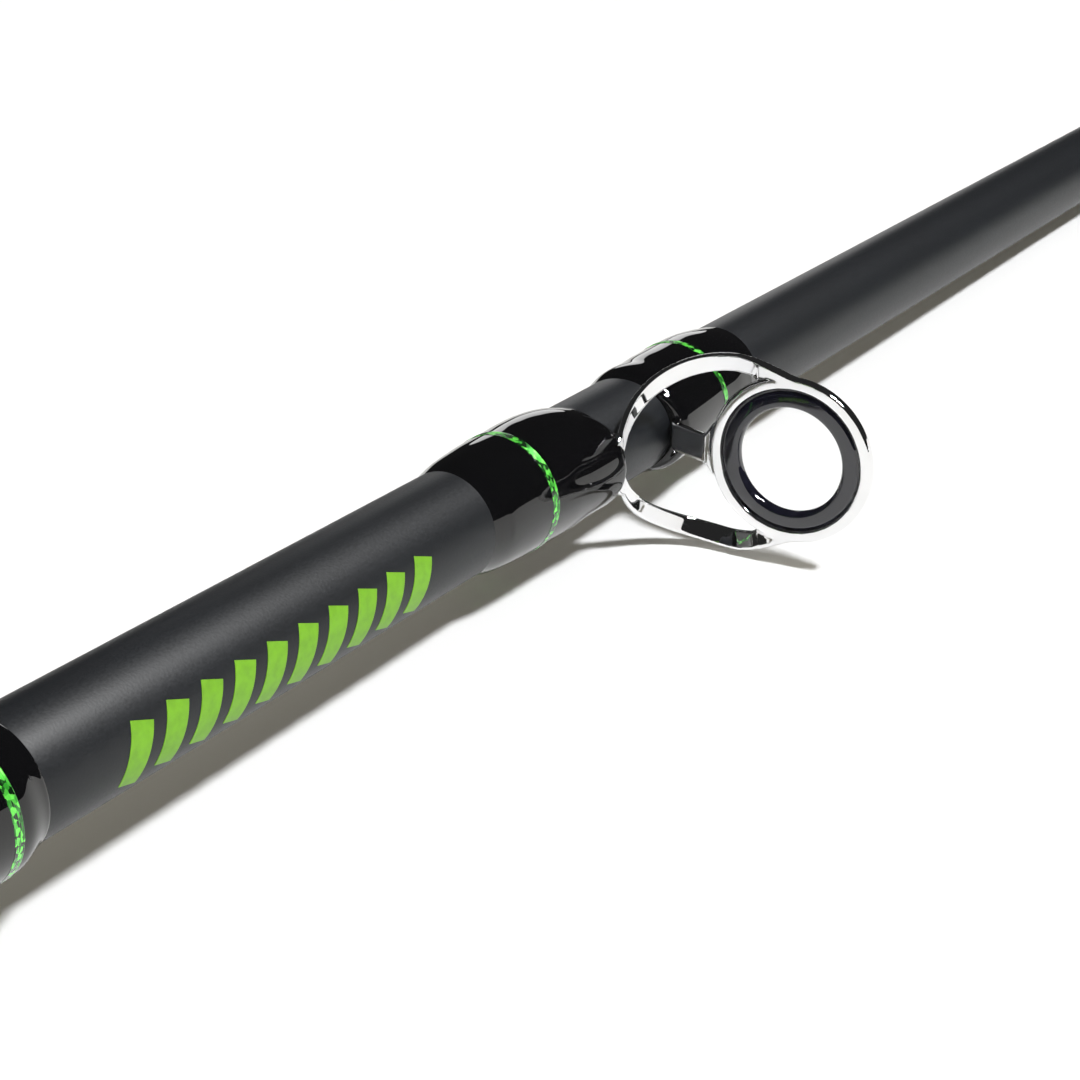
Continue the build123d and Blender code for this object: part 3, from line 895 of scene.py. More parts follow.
@dataclass
class Wrap:
    """Thread wound over a guide's foot under clear epoxy, as a height above the blank.

    The height is a curve from the outer end to the guide's end, joined by a fillet to a hump over the
    foot: a circle whose axis lies a little towards the guide. The guide's end reaches further along by
    the foot than at the back.
    """

    blank: Blank
    at: float
    scale: float
    ends: tuple
    heights: tuple
    hump: tuple = ((0.0, -0.5), (0.12, 0.40), (0.94, 1.30), (1.0, 0.95))
    hump_offset: float = 0.35
    round_end: float = 0.30
    fillet: float = 0.30
    swell: float = 0.012
    swell_waves: float = 13.0
    swell_shift: tuple = (0.7, 0.4)

    def guide_end(self, angle: Array) -> Array:
        """The end beside the guide, from the foot's side at angle 0 to the back at half a turn."""
        return self.ends[1] + (self.ends[2] - self.ends[1]) * ((1.0 + np.cos(angle)) / 2.0) ** 2

    def radius(self, x: Array, angle: Array) -> Array:
        """Radius of the wrap's surface.

        Args:
            x: places along the rod, rows by columns.
            angle: angles about the rod, from the guides' side.

        Returns:
            Array of rows by columns.
        """
        s = self.scale
        length = self.guide_end(angle) - self.ends[0]
        share = np.clip(((x - self.at) / s - self.ends[0]) / length, 0.0, 1.0)
        base = self.blank.radius(x)
        body = curve(list(zip(np.linspace(0.0, 1.0, len(self.heights)), self.heights)), share) * s
        offset = self.hump_offset * base
        far = base + ease(self.hump, share) * s - offset
        chord = np.sqrt(np.maximum(far ** 2 - (offset * np.sin(angle)) ** 2, 0.0))
        across = offset * np.cos(angle) + chord
        height = soft_max(body, across - base, self.fillet * s * np.sin(pi * share) + TINY)
        swell = self.swell * s * np.sin(2 * angle + self.swell_shift[0])
        swell = swell * np.sin(self.swell_waves * share + self.swell_shift[1]) * np.sin(pi * share)
        near = np.clip((1.0 - share) * np.abs(length) / self.round_end, 0.0, 1.0)
        return base + np.maximum((height + swell) * np.sqrt(1.0 - (1.0 - near) ** 2), 0.0)

    def shell(self, count: int, segments: int) -> Shell:
        """The wrap as a closed ring on the blank, its rows close together at the ends.

        Args:
            count: rows along the wrap.
            segments: columns round it.

        Returns:
            The shell.
        """
        angle = angles(segments)[None]
        share = (0.5 - 0.5 * np.cos(np.linspace(0.0, pi, count)))[:, None]
        x = self.at + self.scale * (self.ends[0] + share * (self.guide_end(angle) - self.ends[0]))
        return sleeve(x, self.radius(x, angle), self.blank.radius(x) - SINK, segments)

    def band(self, place: float, width: float) -> Shell:
        """A trim band on the wrap's surface."""
        return ThreadBand().shell(self.radius, self.at + place * self.scale, width)


@dataclass
class ThreadBand:
    """A trim band: turns of thread side by side on a round surface, each a low half round."""

    turns: int = 5
    turn_rows: int = 6
    segments: int = 180
    lift: float = 0.012
    rise: float = 0.022
    edge: float = -0.03
    depth: float = 0.10

    def shell(self, surface: Callable[[Array, Array], Array], middle: float, width: float) -> Shell:
        """The band's turns as one closed ring.

        Radius = surface + lift + rise |sin(pi (turns u + t / 2 pi))|, with u across the band and t
        round the rod, so the ridges climb one turn each time round.

        Args:
            surface: radius of the surface at places and angles.
            middle: the band's middle.
            width: the band's width.

        Returns:
            The shell.
        """
        u = np.linspace(0.0, 1.0, self.turns * self.turn_rows + 1)[:, None]
        angle = angles(self.segments)[None]
        x = middle + (u - 0.5) * width + 0.0 * angle
        base = surface(x, angle)
        ridge = self.lift + self.rise * np.abs(np.sin(pi * self.turns * u + angle / 2.0))
        ridge[[0, -1]] = self.edge
        return sleeve(x, base + ridge, base - self.depth, self.segments)


@dataclass
class FerruleWrap:
    """The wrap that binds the upper tube's socket, with a trim band near each end."""

    blank: Blank
    start: float = 487.0
    length: float = 42.5
    height: float = 0.75
    slope: float = 2.4
    edge: float = 0.15
    round_end: float = 0.3
    inset: float = 2.8
    trim_width: float = 0.8
    rows: int = 120
    segments: int = 144

    def radius(self, x: Array, angle: Array) -> Array:
        """Radius of the wrap, the same at every angle: an eased rise at both ends.

        Args:
            x: places along the rod.
            angle: angles about the rod, which set the array's shape.

        Returns:
            The radius at each place and angle.
        """
        depth = x - self.start
        height = ease([(0.0, self.edge), (self.slope / 2, self.height),
                       (self.length - self.slope, self.height), (self.length, self.edge)], depth)
        near = np.minimum(depth, self.length - depth) / self.round_end
        drop = np.sqrt(1.0 - (1.0 - np.clip(near, 0.0, 1.0)) ** 2)
        return self.blank.radius(x) + height * drop + 0.0 * angle

    def build(self) -> None:
        """Make the wrap and its bands."""
        x = self.start + self.length * (0.5 - 0.5 * np.cos(np.linspace(0.0, pi, self.rows)))
        shell = sleeve(x, self.radius(x, np.zeros(1)), self.blank.radius(x) - SINK, self.segments)
        Piece("ferrule_binding", shell, WRAP_EPOXY, Body.UPPER, ("ferrule_wrap",)).place()
        half = self.trim_width / 2
        middles = (self.start + self.inset + half, self.start + self.length - self.inset - half)
        bands = [ThreadBand().shell(self.radius, middle, self.trim_width) for middle in middles]
        Piece("ferrule_bands", Shell.join(bands), TRIM_THREAD_PAINTED_SPARKLE, Body.UPPER, ("ferrule_trim",)).place()


@dataclass
class GuideShape:
    """Sizes of a line guide as drawn for the largest ring; each guide is scaled from them.

    The arms' tables are (down, up), the strut's line is (along, out), and the feet are (along, half
    width, height).
    """

    drawn_ring: float = 12.0
    ring_edge: tuple = ((-0.02, 6.0), (-0.38, 5.58), (-0.46, 4.78), (-0.38, 4.52), (-0.12, 4.35),
                        (0.34, 4.35), (0.60, 4.52), (0.64, 5.2), (0.38, 5.85), (0.1, 6.0))
    ring_corner: float = 0.10
    ring_segments: int = 160
    height: float = 11.92
    lean: float = radians(4.5)
    plate: float = 0.85
    edge: float = 0.18
    housing: float = 6.85
    seat_lap: float = 0.08
    arm_outer: tuple = ((-2.2, 6.45), (-1.0, 6.72), (-0.1, 6.92), (1.1, 7.38), (2.2, 7.80), (3.1, 8.08),
                        (4.3, 8.30))
    arm_inner: tuple = ((-2.2, 6.1), (2.5, 6.1), (2.8, 6.2), (3.0, 6.40), (3.3, 6.58), (3.8, 6.68),
                        (4.8, 6.75))
    outer_tip: float = 16.3
    outer_power: float = 1.08
    inner_tip: float = 15.4
    inner_power: float = 1.20
    arm_rows: int = 90
    heel_rows: int = 300
    arm_thick: float = 0.50
    thin_from: float = 0.5
    thin_to: float = 5.0
    dish: float = 0.40
    dish_start: float = -2.5
    dish_run: float = 16.0
    knee: float = 6.0
    heel_reach: float = 6.2
    heel_lift: float = 0.48
    strut_root: float = 4.6
    strut_neck: float = 0.15
    strut_width: float = 2.4
    strut_thick: float = 0.6
    strut_bend: float = 7.4
    strut_line: tuple = ((0.75, 0.95), (1.9, 0.48), (3.6, 0.48))
    strut_rows: int = 120
    strut_softening: int = 20
    near_foot: tuple = ((-7.1, 2.6, 0.85), (-7.6, 2.4, 0.85), (-8.3, 1.75, 0.85), (-9.0, 1.75, 0.85),
                        (-20.5, 1.0, 0.25))
    far_foot: tuple = ((1.9, 1.2, 0.85), (2.9, 1.75, 0.85), (5.9, 1.75, 0.7225), (13.8, 1.0, 0.25))
    foot_rows: int = 60
    near_wrap: tuple = (-24.1, -7.86, -6.7)
    near_heights: tuple = (0.0, 0.41, 0.60, 0.69, 0.73, 0.79, 0.75, 0.52, 0.0)
    far_wrap: tuple = (16.92, 0.36, 1.7)
    far_heights: tuple = (0.0, 0.34, 0.57, 0.60, 0.59, 0.55, 0.45, 0.46, 0.0)
    near_trim: float = -16.9
    far_trim: float = 9.9
    trim_width: float = 0.8
    wrap_grid: tuple = (90, 144)
    small_wrap_grid: tuple = (60, 96)
    voxel: float = 0.12
    fine_voxel: float = 0.078

    def ring_outline(self) -> Array:
        """Rounded outline of the ring's section, from its face towards the butt to its back."""
        return round_corners(self.ring_edge, self.ring_corner)


@dataclass
class LineGuide:
    """One line guide with its ring, wraps and, on a double foot, trims.

    Shapes are drawn in (along, out, up): along the rod from the ring, out from the blank's surface,
    and up across the plate.
    """

    blank: Blank
    number: int
    at: float
    ring_size: float
    double_foot: bool
    shape: GuideShape = field(default_factory=GuideShape)

    @property
    def scale(self) -> float:
        """Size against the drawn guide."""
        return self.ring_size / self.shape.drawn_ring

    def world(self, points: Array) -> Array:
        """Points of the drawing in the rod's frame."""
        along, out, up = points.T * self.scale
        return np.stack([self.at + along, -(self.blank.radius(self.at) + out), up], axis=-1)

    def facing(self, normals: Array) -> Array:
        """Directions of the drawing in the rod's frame."""
        return normals / np.linalg.norm(normals, axis=1, keepdims=True) * np.array([1.0, -1.0, 1.0])

    def on_plate(self, up: Array, rise: Array) -> Array:
        """Points of the leaning plate; rise is counted from the ring's centre."""
        g = self.shape
        return np.stack([rise * sin(g.lean), g.height + rise * cos(g.lean), up + 0.0 * rise], axis=-1)

    def plate(self, up: Array, rise: Array) -> Array:
        """Points of the leaning plate in the rod's frame."""
        return self.world(self.on_plate(up, rise))

    def sheet(self, up: Array, down: Array) -> tuple[Array, Array]:
        """Points and normals of the sheet that the loop is cut from.

        It runs down the leaning plate to the knee, round an arc that is tangent to the plate there, and
        then flat along the blank: with a the arc's angle, from the lean to a quarter turn, along and out
        change by radius (cos a, -sin a).

        Args:
            up: places across the sheet.
            down: ways along the sheet from the ring's centre.

        Returns:
            Points and normals in (along, out, up).
        """
        g = self.shape
        run, fall = g.heel_reach - g.knee * sin(g.lean), g.height - g.knee * cos(g.lean) - g.heel_lift
        radius = (run ** 2 + fall ** 2) / (2.0 * (run * cos(g.lean) - fall * sin(g.lean)))
        arc = radius * (pi / 2 - g.lean)
        angle = g.lean + np.clip(down - g.knee, 0.0, arc) / radius
        straight = np.minimum(down, g.knee)
        along = -straight * sin(g.lean) + radius * (np.cos(angle) - cos(g.lean))
        along = along - np.maximum(down - g.knee - arc, 0.0)
        out = g.height - straight * cos(g.lean) - radius * (np.sin(angle) - sin(g.lean))
        normals = np.stack([np.cos(angle), -np.sin(angle), 0.0 * angle], axis=-1)
        return np.stack([along, out, up], axis=-1), normals

    def edge_line(self, table: Sequence[tuple], tip: float, power: float) -> tuple[Array, Array]:
        """One edge of the loop: a curve down the upper arm, half an oval round the heel, and back up.

        The oval is up = half cos^power t, down = widest + (tip - widest) sin^power t.

        Args:
            table: (down, up) stations of the arm, the last being the oval's widest place.
            tip: the oval's end, down the sheet.
            power: 1 for an ellipse, more for straighter sides.

        Returns:
            Places across the sheet and ways down it.
        """
        widest, half = table[-1]
        down = np.linspace(table[0][0], widest, self.shape.arm_rows)
        t = np.linspace(0.0, pi, self.shape.heel_rows)[1:-1]
        arm = curve(table, down)
        across = half * np.sign(np.cos(t)) * np.abs(np.cos(t)) ** power
        return (np.concatenate([arm, across, -arm[::-1]]),
                np.concatenate([down, widest + (tip - widest) * np.sin(t) ** power, down[::-1]]))

    def loop(self) -> Shell:
        """Both arms as one bar between the loop's two edges, dished between the ring and the heel.

        The dish turns the bar's edges apart by dish * width * sin^2 (pi share), half at each edge.

        Returns:
            The shell.
        """
        g = self.shape
        edges = [self.edge_line(g.arm_outer, g.outer_tip, g.outer_power),
                 self.edge_line(g.arm_inner, g.inner_tip, g.inner_power)]
        (outer, outer_flat), (inner, inner_flat) = (self.sheet(*edge) for edge in edges)
        middle = (edges[0][1] + edges[1][1]) / 2
        share = np.clip((middle - g.dish_start) / g.dish_run, 0.0, 1.0)
        width = np.linalg.norm(outer - inner, axis=1)
        flat = outer_flat + inner_flat
        shift = flat / 4 * (g.dish * width * np.sin(pi * share) ** 2)[:, None]
        thick = ease([(g.thin_from, g.plate), (g.thin_to, g.arm_thick)], middle) * self.scale
        return strip(self.world(outer - shift), self.world(inner + shift), self.facing(flat), thick,
                     g.edge * self.scale)

    def bar(self, path: Array, width: Array, thick: Array) -> Shell:
        """A bar along a path in the plane of the rod and the ring's centre.

        Args:
            path: points of its middle line, in (along, out, up).
            width: width at each point.
            thick: thickness at each point.

        Returns:
            The shell.
        """
        ahead = np.gradient(path, axis=0)
        normal = self.facing(np.stack([ahead[:, 1], -ahead[:, 0], 0.0 * ahead[:, 0]], axis=-1))
        s = self.scale
        return sweep(self.world(path), normal, width * s, thick * s, self.shape.edge * s)

    def foot(self, stations: Sequence[tuple]) -> Shell:
        """A flat foot on the blank, sunk a little into it.

        Args:
            stations: (along, half width, height) from the heel to the tip.

        Returns:
            The shell.
        """
        along, half, top = even(np.array(stations), self.shape.foot_rows).T
        path = np.stack([along, top / 2 - SINK, 0.0 * along], axis=-1)
        return self.bar(path, 2 * half, top + 2 * SINK)

    def strut(self) -> Shell:
        """The strut under the ring, turned to the far foot.

        Returns:
            The shell.
        """
        g = self.shape
        start = self.on_plate(np.zeros(2), -np.array([(g.housing + g.drawn_ring / 2) / 2, g.strut_bend]))
        rest = np.array([(along, out, 0.0) for along, out in g.strut_line])
        path = soften(even(np.concatenate([start, rest]), g.strut_rows), g.strut_softening)
        share = np.linspace(0.0, 1.0, g.strut_rows)
        width = ease([(0.0, g.strut_root), (g.strut_neck, g.strut_width)], share)
        return self.bar(path, width, np.full(g.strut_rows, g.strut_thick))

    def build(self) -> None:
        """Make the guide's pieces."""
        g, s = self.shape, self.scale
        name = f"guide_{self.number}"
        normal = self.facing(np.array([[cos(g.lean), -sin(g.lean), 0.0]]))[0]
        radii = (g.housing, g.drawn_ring / 2 - g.seat_lap)
        housing = flat_ring(self.plate, normal, radii, g.plate * s, g.edge * s, g.ring_segments)
        parts = [housing, self.loop(), self.foot(g.near_foot)]
        if self.double_foot:
            parts += [self.strut(), self.foot(g.far_foot)]
        voxel = (g.fine_voxel if self.number == 1 else g.voxel) * s
        stamping = Shell.join(parts)
        Piece(f"{name}_stamping", stamping, GUIDE_STEEL, Body.UPPER, (f"{name}_frame",), voxel).place()
        ring = ring_shell(self.plate, normal * s, g.ring_outline(), g.ring_segments)
        Piece(f"{name}_insert", ring, RING_CERAMIC, Body.UPPER, (f"{name}_ring",)).place()
        forms = [(g.near_wrap, g.near_heights), (g.far_wrap, g.far_heights)]
        feet = len(forms) if self.double_foot else 1
        wraps = [Wrap(self.blank, self.at, s, *form) for form in forms[:feet]]
        grid = g.wrap_grid if self.double_foot else g.small_wrap_grid
        shells = Shell.join([wrap.shell(*grid) for wrap in wraps])
        Piece(f"{name}_binding", shells, WRAP_EPOXY, Body.UPPER, (f"{name}_wraps",)).place()
        if self.double_foot:
            places = (g.near_trim, g.far_trim)
            bands = Shell.join([wrap.band(place, g.trim_width) for wrap, place in zip(wraps, places)])
            Piece(f"{name}_bands", bands, TRIM_THREAD_PAINTED_SPARKLE, Body.UPPER, (f"{name}_trims",)).place()


@dataclass
class GuideRow:
    """The line guides from the stripper towards the tip, each gap a share of the one before."""

    blank: Blank
    ring_sizes: tuple = (12.0, 10.0, 8.0, 7.0, 6.0, 6.0, 6.0, 6.0)
    double_feet: int = 2
    ratio: float = 0.86

    def build(self) -> None:
        """Make the guides; the gaps, with the last one to the tip top, fill the upper tube."""
        shares = [self.ratio ** step for step in range(len(self.ring_sizes))]
        gap = (self.blank.length - self.blank.stripper_at) / sum(shares)
        at = self.blank.stripper_at
        for number, (ring_size, share) in enumerate(zip(self.ring_sizes, shares)):
            LineGuide(self.blank, number + 1, at, ring_size, number < self.double_feet).build()
            at += gap * share


@dataclass
class TipTop:
    """The tip's tube with its leaning ring, and the wrap behind it."""

    blank: Blank
    ring_size: float = 6.0
    ring_out: float = 5.4
    lean: float = radians(25.0)
    tube_start: float = 1815.0
    tube_end: float = 1827.0
    tube_wall: float = 0.45
    tube_corner: float = 0.2
    tube_segments: int = 64
    nose: float = 0.9
    core: float = 0.2
    plug_depth: float = 0.8
    plug_inset: float = 0.1
    plug_width: float = 0.8
    plug_rows: int = 12
    wrap_length: float = 9.0
    wrap_height: float = 0.5
    wrap_rise: float = 3.0
    wrap_edge: float = 0.05
    wrap_grid: tuple = (60, 96)
    foot: float = 1.3
    foot_reach: float = 0.6
    braze: float = 0.55
    seat_lap: float = 0.1
    web_rows: int = 60
    ring_segments: int = 120
    voxel: float = 0.06
    shape: GuideShape = field(default_factory=GuideShape)

    def plate(self, up: Array, rise: Array) -> Array:
        """Points of the leaning plate in the rod's frame."""
        along, out = self.blank.length + rise * sin(self.lean), self.ring_out + rise * cos(self.lean)
        return np.stack([along, -out, up + 0.0 * rise], axis=-1)

    @property
    def normal(self) -> Array:
        """The plate's flat side."""
        return np.array([cos(self.lean), sin(self.lean), 0.0])

    def webs(self, outer: float, thick: float, corner: float) -> list[Shell]:
        """Both halves of the plate below the ring, from the middle line or the ring to a straight side.

        The side touches the housing's circle and the foot's: half = outer / cos a + rise tan a, where
        sin a = (outer - foot) / drop.

        Args:
            outer: radius of the housing.
            thick: thickness of the plate.
            corner: radius of its rounding.

        Returns:
            The two halves.
        """
        drop = self.ring_out / cos(self.lean)
        slope = np.arcsin((outer - self.foot) / drop)
        rise = np.linspace(-drop - self.foot_reach * self.foot, -outer * sin(slope), self.web_rows)
        half = outer / cos(slope) + rise * np.tan(slope)
        opening = self.ring_size / 2 + self.seat_lap
        chord = np.sqrt(np.maximum(opening ** 2 - rise ** 2, 0.0))
        inner = np.where(-rise < opening, chord, 0.0) - self.seat_lap
        normal, thick = np.tile(self.normal, (self.web_rows, 1)), np.full(self.web_rows, thick)
        pairs = ((half, inner), (-inner, -half))
        return [strip(self.plate(a, rise), self.plate(b, rise), normal, thick, corner) for a, b in pairs]

    def build(self) -> None:
        """Make the frame, the ring and the wrap."""
        g = self.shape
        s = self.ring_size / g.drawn_ring
        bore = self.blank.radius(self.tube_start)
        nose = self.tube_end + self.braze
        back = self.tube_end - self.plug_depth
        tube = lathe([(self.tube_start, bore), (self.tube_start, bore + self.tube_wall),
                      (self.tube_end, bore + self.tube_wall), (nose, self.nose), (nose, self.core),
                      (back, self.core), (back, bore)], self.tube_corner, self.tube_segments)
        along = np.linspace(back + self.plug_inset, nose - self.plug_inset, self.plug_rows)
        width = np.full(self.plug_rows, self.plug_width)
        path, side = np.outer(along, (1.0, 0.0, 0.0)), np.tile([0.0, 1.0, 0.0], (self.plug_rows, 1))
        plug = sweep(path, side, width, width, self.tube_corner)
        size = (g.housing * s, g.plate * s, g.edge * s)
        radii = (size[0], self.ring_size / 2 - self.seat_lap)
        seat = flat_ring(self.plate, self.normal, radii, *size[1:], self.ring_segments)
        stamping = Shell.join([tube, plug, seat, *self.webs(*size)])
        Piece("tip_stamping", stamping, GUIDE_STEEL, Body.UPPER, ("tip_top_frame",), self.voxel).place()
        ring = ring_shell(self.plate, self.normal, g.ring_outline() * s, self.ring_segments)
        Piece("tip_insert", ring, RING_CERAMIC, Body.UPPER, ("tip_top_ring",)).place()
        start = self.tube_start - self.wrap_length
        rows, segments = self.wrap_grid
        x = np.linspace(start, self.tube_start, rows)
        height = ease([(start, self.wrap_edge), (start + self.wrap_rise, self.wrap_height)], x)
        shell = sleeve(x, self.blank.radius(x) + height, self.blank.radius(x) - SINK, segments)
        Piece("tip_binding", shell, WRAP_EPOXY, Body.UPPER, ("tip_wrap",)).place()


@dataclass
class Handle:
    """Butt cap, grips and the turned checks at their ends."""

    blank: Blank
    cap_length: float = 18.0
    cap_radius: float = 12.6
    cap_floor: float = 6.0
    cap_edge: float = 2.5
    cap_dome: float = 0.35
    cap_rim: float = 0.2
    cap_rows: int = 90
    dome_rows: int = 8
    groove_middle: float = 9.0
    groove_pitch: float = 5.0
    groove_reach: float = 6.25
    groove_depth: float = 0.45
    rear_end: float = 152.0
    rear_radius: float = 12.3
    rear_waist: float = 8.6
    rear_straight: float = 26.0
    check_length: float = 3.5
    check_lip: float = 0.4
    check_wall: float = 0.8
    check_shares: tuple = (0.0, 0.22, 0.27, 0.33, 0.38, 1.0)
    check_groove: float = 0.25
    check_corner: float = 0.25
    mid_start: float = 233.0
    mid_end: float = 275.0
    mid_radius: float = 8.2
    hood_radius: float = 11.0
    fore_start: float = 381.5
    fore_end: float = 390.5
    fore_radius: float = 9.4
    fore_straight: float = 3.0
    fore_shoulders: tuple = (0.9, 0.7, 0.3)
    fore_groove: float = 0.3
    bore_gap: float = 0.02
    grip_rows: int = 120
    grip_end: float = 0.8
    grip_ease: float = 0.5
    segments: int = 128

    def bore(self, x: float) -> float:
        """Bore of a piece on the handle's tube."""
        return float(self.blank.handle(x)) + self.bore_gap

    def cap(self) -> Shell:
        """The butt cap: a cup with three shallow grooves, a rounded edge and a slightly hollow end.

        Radius = cap radius - depth cos^2 (2 pi x / pitch) in each groove, with x from the middle groove,
        less edge - sqrt(edge^2 - (edge - x)^2) near the end.

        Returns:
            The shell.
        """
        x = np.linspace(0.0, self.cap_length, self.cap_rows)
        off = x - self.groove_middle
        groove = np.maximum(np.cos(2 * pi * off / self.groove_pitch), 0.0)
        groove = groove * (np.abs(off) < self.groove_reach)
        short = np.maximum(self.cap_edge - x, 0.0)
        edge = self.cap_edge - np.sqrt(np.maximum(self.cap_edge ** 2 - short ** 2, 0.0))
        radius = self.cap_radius - self.groove_depth * groove ** 2 - edge
        radius[-1] -= self.cap_rim
        rim = np.linspace(MM, radius[0], self.dome_rows, endpoint=False)
        places = np.concatenate([[0.0], self.cap_dome * (1 - (rim / radius[0]) ** 2), x,
                                 [self.cap_length, self.cap_floor, self.cap_floor]])
        bores = [self.bore(self.cap_length), self.bore(self.cap_floor), 0.0]
        radii = np.concatenate([[0.0], rim, radius, bores])
        return grid_shell(turn(places, radii, self.segments), False)

    def grip(self, start: float, end: float, outer: Callable[[Array], Array]) -> Shell:
        """A grip between two places, with its ends eased over.

        Args:
            start: its end towards the butt.
            end: its end towards the tip.
            outer: its radius at given places.

        Returns:
            The shell.
        """
        x = np.linspace(start, end, self.grip_rows)
        near = np.clip(np.minimum(x - start, end - x) / self.grip_end, 0.0, 1.0)
        radius = outer(x) - self.grip_ease * (1.0 - np.sqrt(1.0 - (1.0 - near) ** 2))
        places = np.concatenate([x, [end, start]])
        radii = np.concatenate([radius, [self.bore(end), self.bore(start)]])
        return grid_shell(turn(places, radii, self.segments), True)

    def rear_outline(self, x: Array) -> Array:
        """Radius of the rear grip: straight, then a circular arc down to the waist.

        The arc's radius is (run^2 + fall^2) / (2 fall).

        Args:
            x: places along the rod.

        Returns:
            The radius at each place.
        """
        bend = self.cap_length + self.rear_straight
        run, fall = self.rear_end - bend, self.rear_radius - self.rear_waist
        arc = (run ** 2 + fall ** 2) / (2 * fall)
        return self.rear_radius - arc + np.sqrt(arc ** 2 - np.clip(x - bend, 0.0, run) ** 2)

    def check(self, start: float, end: float, first: float, last: float) -> Shell:
        """A coned ring with a fine groove near its wide end.

        Args:
            start: its wide end.
            end: its narrow end.
            first: radius at the wide end.
            last: radius at the narrow end.

        Returns:
            The shell.
        """
        share = np.array(self.check_shares)
        outer = first + (last - first) * share
        outer[2:4] -= self.check_groove
        bores = [(end, self.bore(end)), (start, self.bore(start))]
        corners = list(zip(start + (end - start) * share, outer)) + bores
        return lathe(corners, self.check_corner, self.segments)

    def fore_check(self) -> Shell:
        """The ring ahead of the seat: a straight part with a fine groove, then a cone.

        Returns:
            The shell.
        """
        straight, low = self.fore_start + self.fore_straight, self.fore_radius - self.fore_groove
        first, second, third = (straight - shoulder for shoulder in self.fore_shoulders)
        front, back = self.bore(self.fore_end), self.bore(self.fore_start)
        corners = [(self.fore_start, self.fore_radius), (first, self.fore_radius), (second, low),
                   (third, low), (straight, self.fore_radius), (self.fore_end, front + self.check_wall),
                   (self.fore_end, front), (self.fore_start, back)]
        return lathe(corners, self.check_corner, self.segments)

    def build(self) -> None:
        """Make the handle's pieces."""
        Piece("cap_cup", self.cap(), CAP_RUBBER, Body.HANDLE, ("butt_cap",)).place()
        rear = self.grip(self.cap_length, self.rear_end, self.rear_outline)
        Piece("rear_foam", rear, GRIP_FOAM, Body.HANDLE, ("rear_grip",)).place()
        slope = (self.hood_radius - self.mid_radius) / (self.mid_end - self.mid_start)
        mid = self.grip(self.mid_start, self.mid_end,
                        lambda x: self.mid_radius + slope * (x - self.mid_start))
        Piece("mid_foam", mid, GRIP_FOAM, Body.HANDLE, ("mid_grip",)).place()
        for name, start, run, wide in (("rear", self.rear_end, self.check_length, self.rear_waist),
                                       ("mid", self.mid_start, -self.check_length, self.mid_radius)):
            end = start + run
            shell = self.check(start, end, wide - self.check_lip, self.bore(end) + self.check_wall)
            Piece(f"{name}_check_ring", shell, CHECK_METAL, Body.HANDLE, (f"{name}_grip_check",)).place()
        Piece("fore_check_ring", self.fore_check(), CHECK_METAL, Body.HANDLE, ("fore_check",)).place()


@dataclass
class ReelSeat:
    """The seat's own solids, dressed, and the thread that its nut runs on."""

    thread_start: float = 331.5
    thread_end: float = 381.3
    root: float = 9.70
    crest: float = 9.90
    pitch: float = 2.0
    key_half: float = radians(11.0)
    steepness: float = 1.6
    valley: float = 0.3
    run_out: float = 1.0
    skin: float = 0.01
    depth: float = 0.15
    end_depth: float = 0.07
    rows: int = 300
    columns: int = 100
    edges: tuple = (0.35, 0.30, 0.30, 0.0)

    def thread(self) -> Shell:
        """The thread, with the keyway on the trigger's side left open.

        Radius = root + skin + (crest - root) * ridge, where ridge is steepness |2 p - 1| - valley held
        between 0 and 1, and p the fraction of x / pitch - t / 2 pi. The end rows shrink to one line.

        Returns:
            The shell.
        """
        x = np.linspace(self.thread_start, self.thread_end, self.rows)
        t = np.linspace(-pi + self.key_half, pi - self.key_half, self.columns)
        phase = x[:, None] / self.pitch - t[None] / (2 * pi)
        wave = np.abs(2.0 * (phase - np.floor(phase)) - 1.0)
        ridge = np.clip(self.steepness * wave - self.valley, 0.0, 1.0)
        ends = np.clip(np.minimum(x - x[0], x[-1] - x) / self.run_out, 0.0, 1.0)[:, None]
        outer = self.root + self.skin + (self.crest - self.root) * ridge * ends
        radius = np.concatenate([outer, np.full_like(outer, self.root - self.depth)], axis=1)
        middle = np.full((1, radius.shape[1]), self.root - self.end_depth)
        radius = np.concatenate([middle, radius, middle])
        x = np.concatenate([x[:1], x, x[-1:]])
        angle = np.concatenate([t, t[::-1]])
        along = x[:, None] + 0 * radius
        grid = np.stack([along, -radius * np.cos(angle), radius * np.sin(angle)], axis=-1)
        return grid_shell(grid, False)

    def build(self) -> None:
        """Dress the seat, hood, nut and arbors, and make the thread."""
        nodes = ("reel_seat", "sliding_hood", "lock_nut", "seat_arbors")
        finishes = (SEAT_PLASTIC, HOOD_METAL, NUT_PLASTIC, ARBOR_PLAIN)
        for node, finish, edge in zip(nodes, finishes, self.edges):
            dress(node, finish, edge)
        Piece("seat_thread", self.thread(), SEAT_PLASTIC, Body.HANDLE).place()


